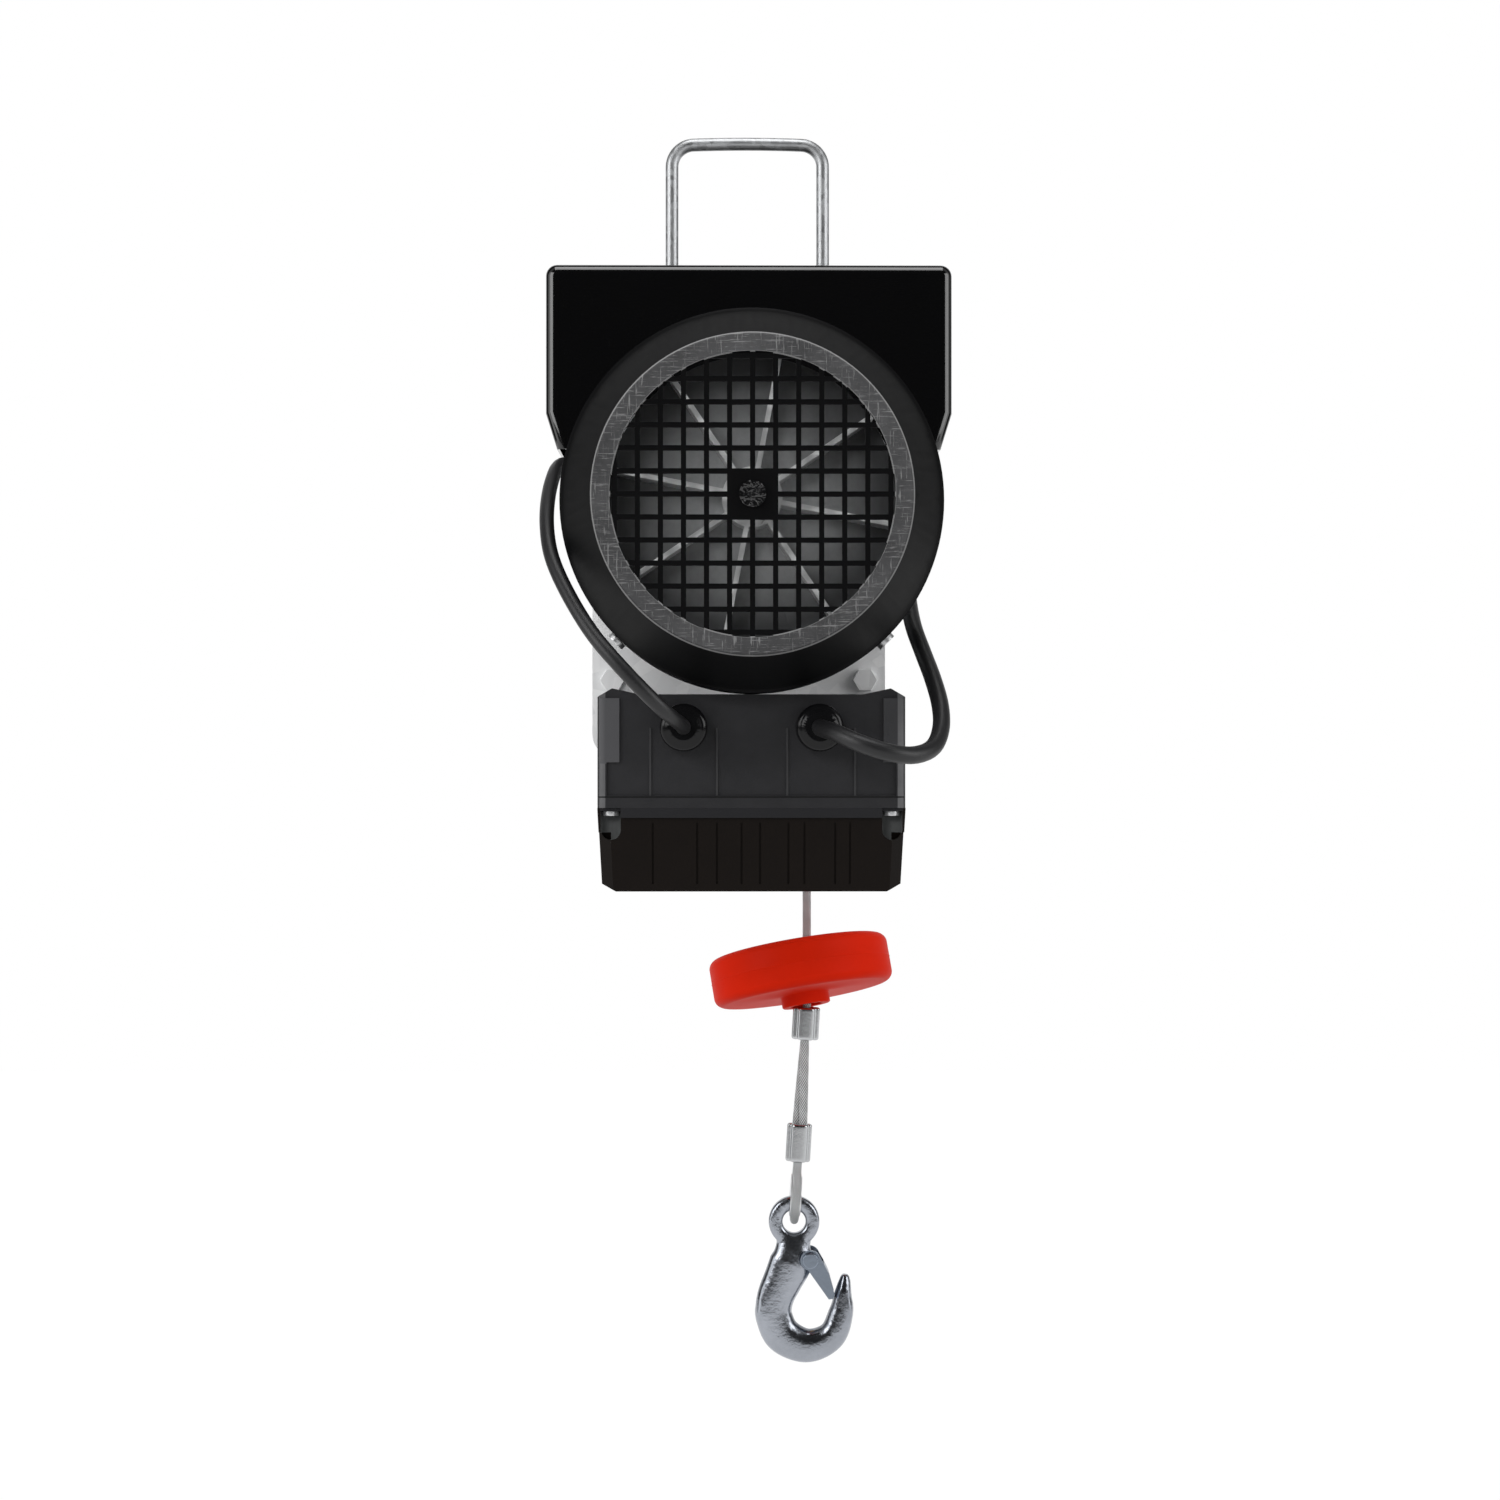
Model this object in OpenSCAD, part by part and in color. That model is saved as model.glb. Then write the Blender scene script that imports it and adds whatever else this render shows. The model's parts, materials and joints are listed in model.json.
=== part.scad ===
// Mini electric wire-rope hoist, hung from a pole by its U-bolt.
// Origin: on the hood's top face, midway between the U-bolt's legs. +Z up.
// Y runs along the motor and drum, with the fan at the -Y end. Units: millimetres.

/* [Suspension] */
// Diameter of the U-bolt's round bar
ubolt_d = 6; // [5:0.5:8]
// Clear width between the U-bolt's legs
ubolt_gap = 65; // [50:1:72]
// Clear height from the hood to the underside of the U-bolt's crown
ubolt_rise = 67.5; // [50:0.5:90]
// Inner bend radius of the U-bolt's upper corners
ubolt_bend = 7; // [4:1:15]
// Thickness of the bridge plate that the U-bolt is bolted to
bridge_t = 5; // [4:0.5:8]
// Width of the bridge plate
bridge_w = 96; // [90:1:120]

/* [Hood] */
// Overall width of the hood
hood_w = 180; // [176:1:200]
// Sheet thickness of the hood
hood_t = 1.5; // [1:0.25:2.5]
// Height of the hood's straight sides
hood_side = 66; // [55:1:72]
// Height of the narrowing hem below the sides
hood_hem = 16; // [12:1:20]
// How far each side draws in over the hem
hood_draw = 5; // [2:1:8]
// Radius of the hood's upper corners
hood_r = 5; // [3:0.5:8]

/* [Side plates] */
// Distance between the inner faces of the two side plates
plate_gap = 150; // [146:1:170]
// Width of each side plate
plate_w = 130; // [126:1:136]
// Thickness of each side plate
plate_t = 3; // [2.5:0.5:4]
// Depth of the folded flanges
plate_fold = 12; // [9:1:16]
// Height of the lower edge of the side plates below the hood's top
plate_drop = 218; // [212:1:226]
// Radius of the plates' lower corners
plate_r = 10; // [6:1:14]
// Diameter of the tie rods between the plates
tie_d = 8; // [6:1:10]
// Radius of the hole that anchors a second rope fall
anchor_r = 7; // [5:0.5:8]

/* [Motor] */
// Height of the motor and drum axis below the hood's top
axis_drop = 115; // [113:1:120]
// Diameter over the motor's fins
motor_d = 124; // [118:1:128]
// Length of the finned motor housing
motor_len = 78; // [70:1:100]
// Thickness of each motor end shield
shield_t = 12; // [12:1:16]
// Wall of the motor housing under its fins
motor_wall = 4; // [3:0.5:6]
// Height of the cooling fins
fin_h = 6; // [4:0.5:7]
// Thickness of a cooling fin
fin_t = 1.8; // [1.4:0.2:2.6]
// Number of cooling fins
fin_count = 36; // [24:2:44]
// Bore of the stator core
stator_bore = 60; // [54:1:66]
// Length of the stator and rotor cores
core_len = 45; // [40:1:50]
// Diameter of the motor shaft
shaft_d = 12; // [11:0.5:12.5]

/* [Fan and cover] */
// Diameter of the fan cover at its rim
cover_d = 154; // [150:1:160]
// Outer diameter of the flat ring round the grille
ring_d = 127; // [123:1:132]
// Diameter of the grille inside the ring
grille_d = 112; // [106:1:116]
// Depth of the flared skirt, from the ring to the rim
flare_len = 28; // [24:1:32]
// Length of the straight skirt behind the rim
skirt_len = 37; // [34:1:40]
// Wall of the fan cover
cover_t = 2; // [1.5:0.25:3]
// Pitch of the grille's bars
grille_pitch = 9; // [8:0.25:11]
// Width of a grille bar
grille_bar = 2; // [1.5:0.25:3]
// Width of the solid square at the middle of the grille
grille_pad = 19.5; // [16:0.5:24]
// Diameter of the round nub at the middle of the grille
nub_d = 10.5; // [8:0.5:13]
// Diameter of the cooling fan
fan_d = 116; // [108:1:118]
// Angle at which the fan has stopped, in degrees
fan_turn = 11; // [0:1:30]
// Number of fan blades
fan_blades = 8; // [6:1:10]
// Depth of the fan blades
blade_len = 18; // [14:1:20]
// Thickness of a fan blade
blade_t = 2; // [1.5:0.25:3]

/* [Drum and rope] */
// Diameter of the steel rope
rope_d = 4; // [3.5:0.25:4]
// Radius from the drum axis to the middle of the rope's top layer
wind_r = 28; // [27:0.5:32]
// Diameter of the drum's bare barrel
barrel_d = 36; // [34:1:38]
// Clear length of the drum between its flanges
drum_len = 104; // [104:1:108]
// Diameter of the drum's flanges
flange_d = 90; // [80:1:96]
// Thickness of a drum flange
flange_t = 4; // [3:0.5:5]
// Turns of rope on the top layer
top_turns = 11; // [6:1:11]
// Gap between neighbouring turns
wind_gap = 0.5; // [0.45:0.01:0.52]
// Diameter of the drum's hub in its bearings
hub_d = 30; // [28:1:31]

/* [Gears] */
// Module of the first stage
mod1 = 0.75; // [0.72:0.01:0.78]
// Teeth of the motor pinion
pinion1_n = 14; // [13:1:15]
// Teeth of the first wheel
wheel1_n = 82; // [80:1:84]
// Teeth of the intermediate pinion
pinion2_n = 14; // [13:1:15]
// Teeth of the output gear
wheel2_n = 50; // [48:1:52]
// Play left on each tooth flank
tooth_play = 0.05; // [0.04:0.01:0.08]
// Face width of the first stage
face1 = 8; // [6:1:9]
// Face width of the second stage
face2 = 14; // [12:1:15]
// Width and height of the gearbox
gearbox_w = 124; // [122:1:128]
// Corner radius of the gearbox
gearbox_r = 22; // [16:1:24]
// Thickness of the gearbox cover
gear_cover_t = 8; // [7:1:12]

/* [Control box] */
// How much narrower the control box is than the side plates, at each side
box_inset = 2.5; // [0:0.25:5]
// Depth of the control box, along the motor
box_len = 110; // [100:1:112]
// Height of the upper box, above its seam
box_h = 44; // [40:1:50]
// Wall of the control box and its lid
box_wall = 2.5; // [2:0.25:3]
// Height of the seam band between box and lid
band_h = 4.5; // [3:0.5:6]
// Depth of the lid below the band
lid_h = 34; // [30:1:40]
// How far the control box's corner posts rise past the fan cover's lowest point
box_rise = 2; // [0.5:0.25:2]
// Diameter of the cable glands' nuts
gland_d = 19.2; // [17:0.2:20]
// Distance of each gland from the middle of the box
gland_x = 27.4; // [22:0.2:32]
// How far the glands stand out of the box
gland_len = 15; // [12:1:18]
// Height of the glands' axes below the box's top posts
gland_drop = 16; // [15:0.5:20]

/* [Limit stop] */
// Diameter of the stop disc
disc_d = 85; // [78:1:90]
// Thickness of the stop disc's rim
disc_h = 22.5; // [17:0.5:24]
// Length of the hub under the stop disc
disc_hub = 6; // [4:0.5:8]
// Tip of the disc, right side up, in degrees
disc_tip = 9.5; // [6:0.5:9.5]
// Lean of the disc, fan side up, in degrees
disc_lean = 10.5; // [6:0.5:10.5]
// Height of the limit lever's ring below the hood's top
lever_drop = 274; // [268:1:276]

/* [Rope end] */
// Height of the upper ferrule's top below the hood's top
ferrule1_drop = 336; // [333:1:345]
// Length of the upper ferrule
ferrule1_h = 15.5; // [12:0.5:18]
// Free length between the two ferrules
fall_len = 39.5; // [30:0.5:50]
// Length of the lower ferrule
ferrule2_h = 18; // [14:0.5:22]
// Height from the lower ferrule to the middle of the hook's eye
eye_drop = 28; // [27.5:0.5:32]
// Sideways lean of the rope end from the upper ferrule to the hook's eye
rope_lean = 6; // [3:0.5:8]

/* [Hook] */
// Outer radius of the hook's eye
eye_r = 12; // [11:0.5:13]
// Radius of the hole in the hook's eye
eye_hole_r = 5.4; // [5.2:0.1:6]
// Thickness of the hook's eye
eye_t = 7; // [6:0.5:8]
// Outer radius of the hook's bowl
bowl_r = 22.9; // [21:0.1:24]
// Radius of the space inside the hook's bowl
bowl_in_r = 8.8; // [8:0.1:9.5]
// Thickness of the hook's body
hook_t = 12; // [10:0.5:13]
// Height from the hook's eye to the middle of its bowl
hook_reach = 43.5; // [42:0.5:48]
// Diameter of the latch rivet
rivet_d = 4; // [3:0.5:5]
// Sheet thickness of the latch
latch_t = 1.2; // [1:0.1:1.5]

/* [Leads] */
// Diameter of the mains lead
mains_d = 7; // [6:0.5:7.5]
// Diameter of the handset's lead
pendant_d = 6; // [5:0.5:6.2]
// Loops of the coiled handset lead, with the half loop that turns it down
coil_loops = 4.5; // [2.5:1:4.5]
// Outer radius of the coil, at the middle of the lead
coil_r = 40; // [38:1:42]
// Step between the coil's neighbouring loops
coil_step = 6.9; // [6.8:0.1:7.2]

/* [Handset] */
// Width of the handset
handset_w = 48; // [44:1:54]
// Length of the handset
handset_len = 118; // [108:1:120]
// Depth of each half of the handset
handset_half = 15; // [14:0.5:18]
// Wall of the handset
handset_wall = 2.2; // [1.8:0.2:3]
// Diameter of the stop button's head
stop_d = 24; // [20:1:26]

/* [Hidden] */
$fn = 64;

// Clearances and small fixed sizes
touch = 0.02;        // left between pieces that rest on each other
run_fit = 0.05;      // radial play of a shaft in its bore
loose = 0.5;         // gap between pieces that only pass each other
bolt_d = 6;          // frame bolts
bolt_head = 4;       // height of a frame bolt's head
screw_d = 4;         // housing screws
bearing_w = 9;       // drum bearings, 30 x 47 x 9
bearing_d = hub_d + 17;
motor_brg_d = shaft_d + 20;
motor_brg_w = 10;
journal_d = 8;       // ends of the geared shafts

// Stations along Y
axis_z = -axis_drop;
plate_in = plate_gap / 2;
plate_out = plate_in + plate_t;
front_shield_y = -plate_out - shield_t;
fan_shield_y = front_shield_y - motor_len;
shield_end_y = fan_shield_y - shield_t;
skirt_y = fan_shield_y;
rim_y = skirt_y - skirt_len;
ring_y = rim_y - flare_len;
core_y = (front_shield_y + fan_shield_y) / 2;
fan_back_y = shield_end_y - 20;
fan_front_y = fan_back_y - blade_len - blade_t;
hub_end = drum_len / 2 + flange_t;
wheel2_y = plate_out + 6;
wheel2_end = wheel2_y + face2;
pinion1_y = wheel2_end + 6;
pinion1_end = pinion1_y + face1 + 2;
gear_floor = 4;
gear_room_end = pinion1_end + 3;
gearbox_end = gear_room_end;
cover_end = gearbox_end + gear_cover_t;
hood_y = plate_out + bolt_head + 1 + hood_t;
plate_x = -4.5;      // the side plates sit a little to one side of the motor axis

// Heights
plate_top = -hood_t - bridge_t;
box_w = plate_w - 2 * box_inset;
box_post_z = axis_z - cover_d / 2 + box_rise;
box_top_z = box_post_z - 2.4;
box_seam_z = box_post_z - box_h;
lid_top_z = box_seam_z - band_h;
lid_bottom_z = lid_top_z - lid_h;
gland_z = box_post_z - gland_drop;
box_back_y = -plate_out - 2;
box_front_y = box_back_y - box_len;
box_screw_x = 46;
box_screw_z = box_top_z - 14;
gland_mouth_y = box_front_y - gland_len;
rope_x = wind_r;
anchor_x = -rope_x - 4;  // a second fall comes up on the other side of the drum
rope_top_z = axis_z - rope_d;
ferrule2_z = -ferrule1_drop - ferrule1_h - fall_len;
eye_z = ferrule2_z - ferrule2_h - eye_drop;
eye_x = rope_x - rope_lean;
bowl_z = eye_z - hook_reach;

// Gear train: both stages share one centre distance
centre_d = mod1 * (pinion1_n + wheel1_n) / 2;
mod2 = 2 * centre_d / (pinion2_n + wheel2_n);
idler_turn = 225;    // direction of the intermediate shaft, from +X towards -Z
idler_x = centre_d * cos(idler_turn);
idler_z = axis_z - centre_d * sin(idler_turn);

// Routes of the two leads, chosen by hand; their clips stand off the side plates' edges
clip_off = 8;
mains_x = plate_x + plate_w / 2 + clip_off;
pendant_x = plate_x - plate_w / 2 - clip_off;
mains_route = [
  [27.4, gland_mouth_y, gland_z], [28, gland_mouth_y - 12, -206.5], [33, -230, -208.5],
  [42, -238, -212.5], [53, -239, -216], [63, -234, -217], [71, -225, -214],
  [75, -214, -206.5], [75.5, -203, -197], [73.5, -190, -186], [70.5, -176, -175],
  [67.5, -162, -163.5], [66.5, -145, -151], [67.5, -125, -138], [mains_x, -104, -125.5],
  [mains_x, -90, -119.5], [mains_x, -76, -118], [mains_x, -62, -118], [mains_x, -30, -119.5],
  [mains_x, 0, -120], [mains_x, 30, -119.5], [mains_x, 62, -118], [mains_x, 76, -118],
  [mains_x, 90, -119.5], [mains_x, 105, -124], [67.5, 119, -133], [65, 129, -146],
  [62, 134, -162], [59, 136, -180], [58, 136, -198], [58, 136, -212]
];
pendant_route = [
  [-27.4, gland_mouth_y, gland_z], [-28, gland_mouth_y - 12, -205], [-33, -230, -201],
  [-41, -236, -193.5], [-52, -236, -182], [-63, -229, -169], [-73, -217, -153],
  [-80, -204, -138], [-83, -188, -124], [-83.5, -168, -110], [-82, -146, -98],
  [-80, -122, -92.5], [-78.5, -104, -93], [pendant_x, -89, -95], [pendant_x, -76, -96],
  [pendant_x, -62, -96], [pendant_x, -35, -98], [pendant_x, 0, -102], [pendant_x, 35, -105],
  [pendant_x, 62, -107], [pendant_x, 75, -107], [pendant_x, 83, -109.4], [-77.4, 91, -116],
  [-77.2, 98.8, -127], [-77, 107, -134], [-76.6, 116, -136.5], [-76.2, 126, -133.7],
  [-76, 133.7, -126], [-76, 137, -114]
];
clip_y = 69;
mains_clip = [mains_x, -118];
pendant_clip_front = [pendant_x, -96];
pendant_clip_rear = [pendant_x, -107];
coil_x = -76 + coil_r;
coil_z = -108;
coil_y1 = 137;
coil_y2 = coil_y1 + coil_step;
plug_z = -212;
plug_pos = [58, 136];

// The handset hangs from the coil's far end
handset_x = coil_x + coil_r;
handset_y = coil_y2;
handset_top = -163;
handset_drop = 25;

// ---------- helpers ----------

// Puts a shape drawn upwards along +Y, at a given X and Z; a drawn +y points to -Z
module along_y(y, x = 0, z = 0) {
  translate([x, y, z]) rotate([-90, 0, 0]) children();
}

module cyl_y(d, y0, y1, x = 0, z = 0) {
  along_y(y0, x, z) cylinder(d = d, h = y1 - y0);
}

module tube_y(d, bore, y0, y1, x = 0, z = 0) {
  difference() {
    cyl_y(d, y0, y1, x, z);
    cyl_y(bore, y0 - 1, y1 + 1, x, z);
  }
}

module block(x0, x1, y0, y1, z0, z1) {
  translate([x0, y0, z0]) cube([x1 - x0, y1 - y0, z1 - z0]);
}

module round_rect(w, h, r) {
  square([w - 2 * r, h], center = true);
  square([w, h - 2 * r], center = true);
  for (x = [-1, 1])
    for (y = [-1, 1])
      translate([x * (w / 2 - r), y * (h / 2 - r)]) circle(r);
}

function arc(cx, cy, r, a0, a1, n = 6) =
  [for (i = [0:n]) let (a = a0 + (a1 - a0) * i / n) [cx + r * cos(a), cy + r * sin(a)]];

function unit(v) = v / norm(v);

// Direction of a route at its point i
function heading(p, i) = unit(p[min(i + 1, len(p) - 1)] - p[max(i - 1, 0)]);

// Sideways directions carried along a route without twisting
function carried(p, i, side, found) =
  i == len(p) ? found :
  let (t = heading(p, i), s = unit(side - (side * t) * t))
  carried(p, i + 1, s, concat(found, [s]));

// A closed tube of n sides through the points p
module swept(p, r, n, side = [0, 0, 1]) {
  s = carried(p, 0, side, []);
  rings = len(p);
  points = [
    for (i = [0:rings - 1])
      let (t = heading(p, i), u = s[i], v = cross(t, u))
      for (k = [0:n - 1])
        p[i] + r * cos(360 * k / n) * u + r * sin(360 * k / n) * v
  ];
  sides = [
    for (i = [0:rings - 2])
      for (k = [0:n - 1])
        let (a = i * n + k, b = i * n + (k + 1) % n)
        each [[a, a + n, b], [b, a + n, b + n]]
  ];
  first = [for (k = [1:n - 2]) [0, k, k + 1]];
  last = [for (k = [1:n - 2]) [(rings - 1) * n, (rings - 1) * n + k + 1, (rings - 1) * n + k]];
  polyhedron(points, concat(sides, first, last), convexity = 10);
}

// Length of a route
function run(p, i = 0) = i >= len(p) - 1 ? 0 : norm(p[i + 1] - p[i]) + run(p, i + 1);

// Least distance between points of p that are at least `apart` points from each other
function least_gap(p, apart) =
  min([for (i = [0:len(p) - 1]) for (j = [i + apart:1:len(p) - 1]) norm(p[i] - p[j])]);

// Spur gear outline: involute flanks, 20 degrees, centred on a tooth at angle 0
function inv(a) = tan(a) * 180 / PI - a;
function half_tooth(r, n, m, play) =
  let (rp = n * m / 2, rb = rp * cos(20), a = acos(min(1, rb / r)))
  90 / n + inv(20) - inv(a) - play / rp * 180 / PI;
module gear_2d(n, m, head, play) {
  rp = n * m / 2;
  rb = rp * cos(20);
  tip = rp + head * m;
  root = rp - 1.25 * m;
  low = max(rb, root);
  steps = [for (i = [0:4]) low + (tip - low) * i / 4];
  polygon([
    for (k = [0:n - 1])
      let (c = 360 * k / n)
      each concat(
        [root * [cos(c - half_tooth(low, n, m, play)), sin(c - half_tooth(low, n, m, play))]],
        [for (r = steps) let (h = half_tooth(r, n, m, play)) r * [cos(c - h), sin(c - h)]],
        [for (i = [4:-1:0]) let (r = steps[i], h = half_tooth(r, n, m, play)) r * [cos(c + h), sin(c + h)]],
        [root * [cos(c + half_tooth(low, n, m, play)), sin(c + half_tooth(low, n, m, play))]]
      )
  ]);
}

// ---------- suspension and frame ----------

leg_x = (ubolt_gap + ubolt_d) / 2;
crown_z = ubolt_rise + ubolt_d / 2;
bend_r = ubolt_bend + ubolt_d / 2;
leg_end = plate_top - 16;

module pole_u_bolt() {
  color("silver") {
    for (s = [-1, 1]) {
      translate([s * leg_x, 0, leg_end]) cylinder(d = ubolt_d, h = crown_z - bend_r - leg_end);
      translate([s * (leg_x - bend_r), 0, crown_z - bend_r])
        rotate([90, 0, 0]) rotate(s > 0 ? 0 : 90)
          rotate_extrude(angle = 90) translate([bend_r, 0]) circle(d = ubolt_d);
    }
    translate([-leg_x + bend_r, 0, crown_z]) rotate([0, 90, 0])
      cylinder(d = ubolt_d, h = 2 * (leg_x - bend_r));
  }
}

module u_bolt_nuts() {
  color("gainsboro")
    for (s = [-1, 1])
      translate([s * leg_x, 0, 0]) {
        difference() {
          translate([0, 0, plate_top - 1.6]) cylinder(d = 2 * ubolt_d + 2, h = 1.6 - touch);
          translate([0, 0, plate_top - 3]) cylinder(d = ubolt_d + 2 * run_fit, h = 6);
        }
        difference() {
          translate([0, 0, plate_top - 7.6]) cylinder(d = 1.9 * ubolt_d, h = 6 - touch, $fn = 6);
          translate([0, 0, plate_top - 9]) cylinder(d = ubolt_d + 2 * run_fit, h = 10);
        }
      }
}

module bridge_plate() {
  color("silver")
    difference() {
      block(-bridge_w / 2, bridge_w / 2, -plate_out, plate_out, plate_top + touch, -hood_t - touch);
      for (s = [-1, 1])
        translate([s * leg_x, 0, plate_top - 1]) cylinder(d = ubolt_d + loose, h = bridge_t + 2);
      for (x = [-1, 1])
        for (y = [-1, 1])
          translate([x * bolt_x, y * bolt_y, plate_top - 1])
            cylinder(d = bolt_d + 2 * run_fit, h = bridge_t + 2);
    }
}

hood_low = -hood_side - hood_hem;

function hood_outline(in) =
  let (w = hood_w / 2 - in, top = -in, r = hood_r - in)
  concat(
    [[-w + hood_draw, hood_low], [-w, -hood_side]],
    arc(-w + r, top - r, r, 180, 90),
    arc(w - r, top - r, r, 90, 0),
    [[w, -hood_side], [w - hood_draw, hood_low]]
  );

module hood() {
  color([0.05, 0.05, 0.055])
    difference() {
      along_y(-hood_y) linear_extrude(2 * hood_y) scale([1, -1]) polygon(hood_outline(0));
      along_y(-hood_y + hood_t) linear_extrude(2 * (hood_y - hood_t))
        scale([1, -1]) polygon(concat([[-hood_w / 2 + hood_draw + hood_t, hood_low - 1]],
          hood_outline(hood_t), [[hood_w / 2 - hood_draw - hood_t, hood_low - 1]]));
      cyl_y(motor_d + 16, -hood_y - 1, -hood_y + hood_t + 1, 0, axis_z);
      along_y(hood_y - hood_t - 1, 0, axis_z) linear_extrude(hood_t + 2)
        round_rect(gearbox_w + 8, gearbox_w + 8, gearbox_r);
      for (s = [-1, 1])
        translate([s * leg_x, 0, -hood_t - 1]) cylinder(d = ubolt_d + loose, h = hood_t + 2);
    }
}

bolt_x = bridge_w / 2 - 10;
bolt_y = plate_in - plate_fold / 2;
tie_spots = [[-1, -32], [1, -32], [-1, -184], [1, -184]];
tie_x = plate_w / 2 - 9;
cup_t = 4;

module plate_outline() {
  h = plate_drop + plate_top;
  translate([plate_x - plate_w / 2, -plate_top]) square([plate_w, h - plate_r]);
  translate([plate_x - plate_w / 2 + plate_r, -plate_top]) square([plate_w - 2 * plate_r, h]);
  for (s = [-1, 1])
    translate([plate_x + s * (plate_w / 2 - plate_r), plate_drop - plate_r]) circle(plate_r);
}

// Side plate on the +Y side, with its folds turned towards the drum
module side_plate(centre_bore) {
  difference() {
    union() {
      along_y(plate_in) linear_extrude(plate_t) plate_outline();
      for (s = [-1, 1])
        translate([plate_x + s * (plate_w - plate_t) / 2, 0, 0])
          block(-plate_t / 2, plate_t / 2, plate_in - plate_fold, plate_in + 0.5,
            -plate_drop + plate_r + 6, plate_top - 16);
      block(-bridge_w / 2, bridge_w / 2, plate_in - plate_fold, plate_in + 0.5,
        plate_top - plate_t, plate_top);
      cyl_y(bearing_d + 2 * cup_t, plate_in - bearing_w - 2, plate_in + 0.5, 0, axis_z);
    }
    cyl_y(bearing_d, plate_in - bearing_w - 3, plate_in - 1, 0, axis_z);
    cyl_y(centre_bore, plate_in - 2, plate_out + 1, 0, axis_z);
    for (t = tie_spots)
      cyl_y(bolt_d + 2 * run_fit, plate_in - 1, plate_out + 1, plate_x + t[0] * tie_x, t[1]);
    for (s = [-1, 1])
      translate([s * bolt_x, bolt_y, plate_top - plate_t - 1])
        cylinder(d = bolt_d + 2 * run_fit, h = plate_t + 2);
  }
}

module motor_side_plate() {
  color("silver")
    difference() {
      mirror([0, 1, 0]) side_plate(shaft_d + 10);
      for (p = bracket_holes)
        cyl_y(screw_d + 2 * run_fit, -plate_out - 1, -plate_in + 1, p[0], p[1]);
      for (s = [-1, 1])
        cyl_y(screw_d + 2 * run_fit, -plate_out - 1, -plate_in + 1, s * box_screw_x, box_screw_z);
    }
}

module gear_side_plate() {
  color("silver")
    difference() {
      side_plate(hub_d + 8);
      cyl_y(2 * anchor_r, plate_in - 1, plate_out + 1, anchor_x, -plate_drop + 16);
      cyl_y(journal_d + 4, plate_in - 1, plate_out + 1, idler_x, idler_z);
    }
}

module tie_rods() {
  color("gainsboro")
    for (t = tie_spots) {
      cyl_y(tie_d + 2, -plate_in + touch, plate_in - touch, plate_x + t[0] * tie_x, t[1]);
      for (s = [-1, 1])
        mirror([0, s < 0 ? 1 : 0, 0]) {
          cyl_y(bolt_d, plate_in - 1, plate_out + bolt_head, plate_x + t[0] * tie_x, t[1]);
          along_y(plate_out + touch, plate_x + t[0] * tie_x, t[1])
            cylinder(d = 1.8 * bolt_d, h = bolt_head, $fn = 6);
        }
    }
}

module plate_bolts() {
  color("gainsboro")
    for (x = [-1, 1])
      for (y = [-1, 1])
        translate([x * bolt_x, y * bolt_y, 0]) {
          translate([0, 0, plate_top - plate_t - bolt_head])
            cylinder(d = 1.8 * bolt_d, h = bolt_head - touch, $fn = 6);
          translate([0, 0, plate_top - plate_t - 1])
            cylinder(d = bolt_d, h = plate_t + bridge_t);
        }
  // screws that hold the control box on the motor side plate
  color("gainsboro")
    for (s = [-1, 1]) {
      cyl_y(screw_d, box_back_y - box_wall - 1, -plate_in + 4, s * box_screw_x, box_screw_z);
      cyl_y(2 * screw_d, box_back_y - box_wall - 3, box_back_y - box_wall - touch,
        s * box_screw_x, box_screw_z);
      along_y(-plate_in + touch, s * box_screw_x, box_screw_z)
        cylinder(d = 2 * screw_d, h = 3.2, $fn = 6);
    }
}

// ---------- motor ----------

module ring_bearing(bore, d, w, y, x = 0, z = axis_z) {
  difference() {
    cyl_y(d - 2 * touch, y, y + w, x, z);
    cyl_y(bore + 2 * touch, y - 1, y + w + 1, x, z);
    for (s = [-1, w - 1])
      tube_y((bore + 2 * d) / 3, (2 * bore + d) / 3, y + s, y + s + 2, x, z);
  }
}

module drum_bearings() {
  color("lightgray") {
    ring_bearing(hub_d, bearing_d, bearing_w, plate_in - bearing_w - 1.5);
    ring_bearing(hub_d, bearing_d, bearing_w, -plate_in + 1.5);
  }
}

module motor_bearings() {
  color("lightgray") {
    ring_bearing(shaft_d, motor_brg_d, motor_brg_w, front_shield_y - touch);
    ring_bearing(shaft_d, motor_brg_d, motor_brg_w, fan_shield_y - motor_brg_w - touch);
  }
}

shell_d = motor_d - 2 * fin_h;

module motor_housing() {
  color("darkgray")
    difference() {
      union() {
        cyl_y(shell_d, fan_shield_y + touch, front_shield_y - touch, 0, axis_z);
        for (i = [0:fin_count - 1])
          translate([0, 0, axis_z]) rotate([0, i * 360 / fin_count, 0])
            block(shell_d / 2 - 1, motor_d / 2, fan_shield_y + 4, front_shield_y - 4, -fin_t / 2, fin_t / 2);
      }
      cyl_y(shell_d - 2 * motor_wall, fan_shield_y - 1, front_shield_y + 1, 0, axis_z);
    }
}

module motor_front_shield() {
  color("darkgray")
    difference() {
      cyl_y(shell_d, front_shield_y, -plate_out - touch, 0, axis_z);
      cyl_y(motor_brg_d, front_shield_y - 1, front_shield_y + motor_brg_w, 0, axis_z);
      cyl_y(shaft_d + 4, front_shield_y, -plate_out + 1, 0, axis_z);
    }
}

lug_turns = [45, 135, 225, 315];
lug_y = fan_shield_y - shield_t / 2;

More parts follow.
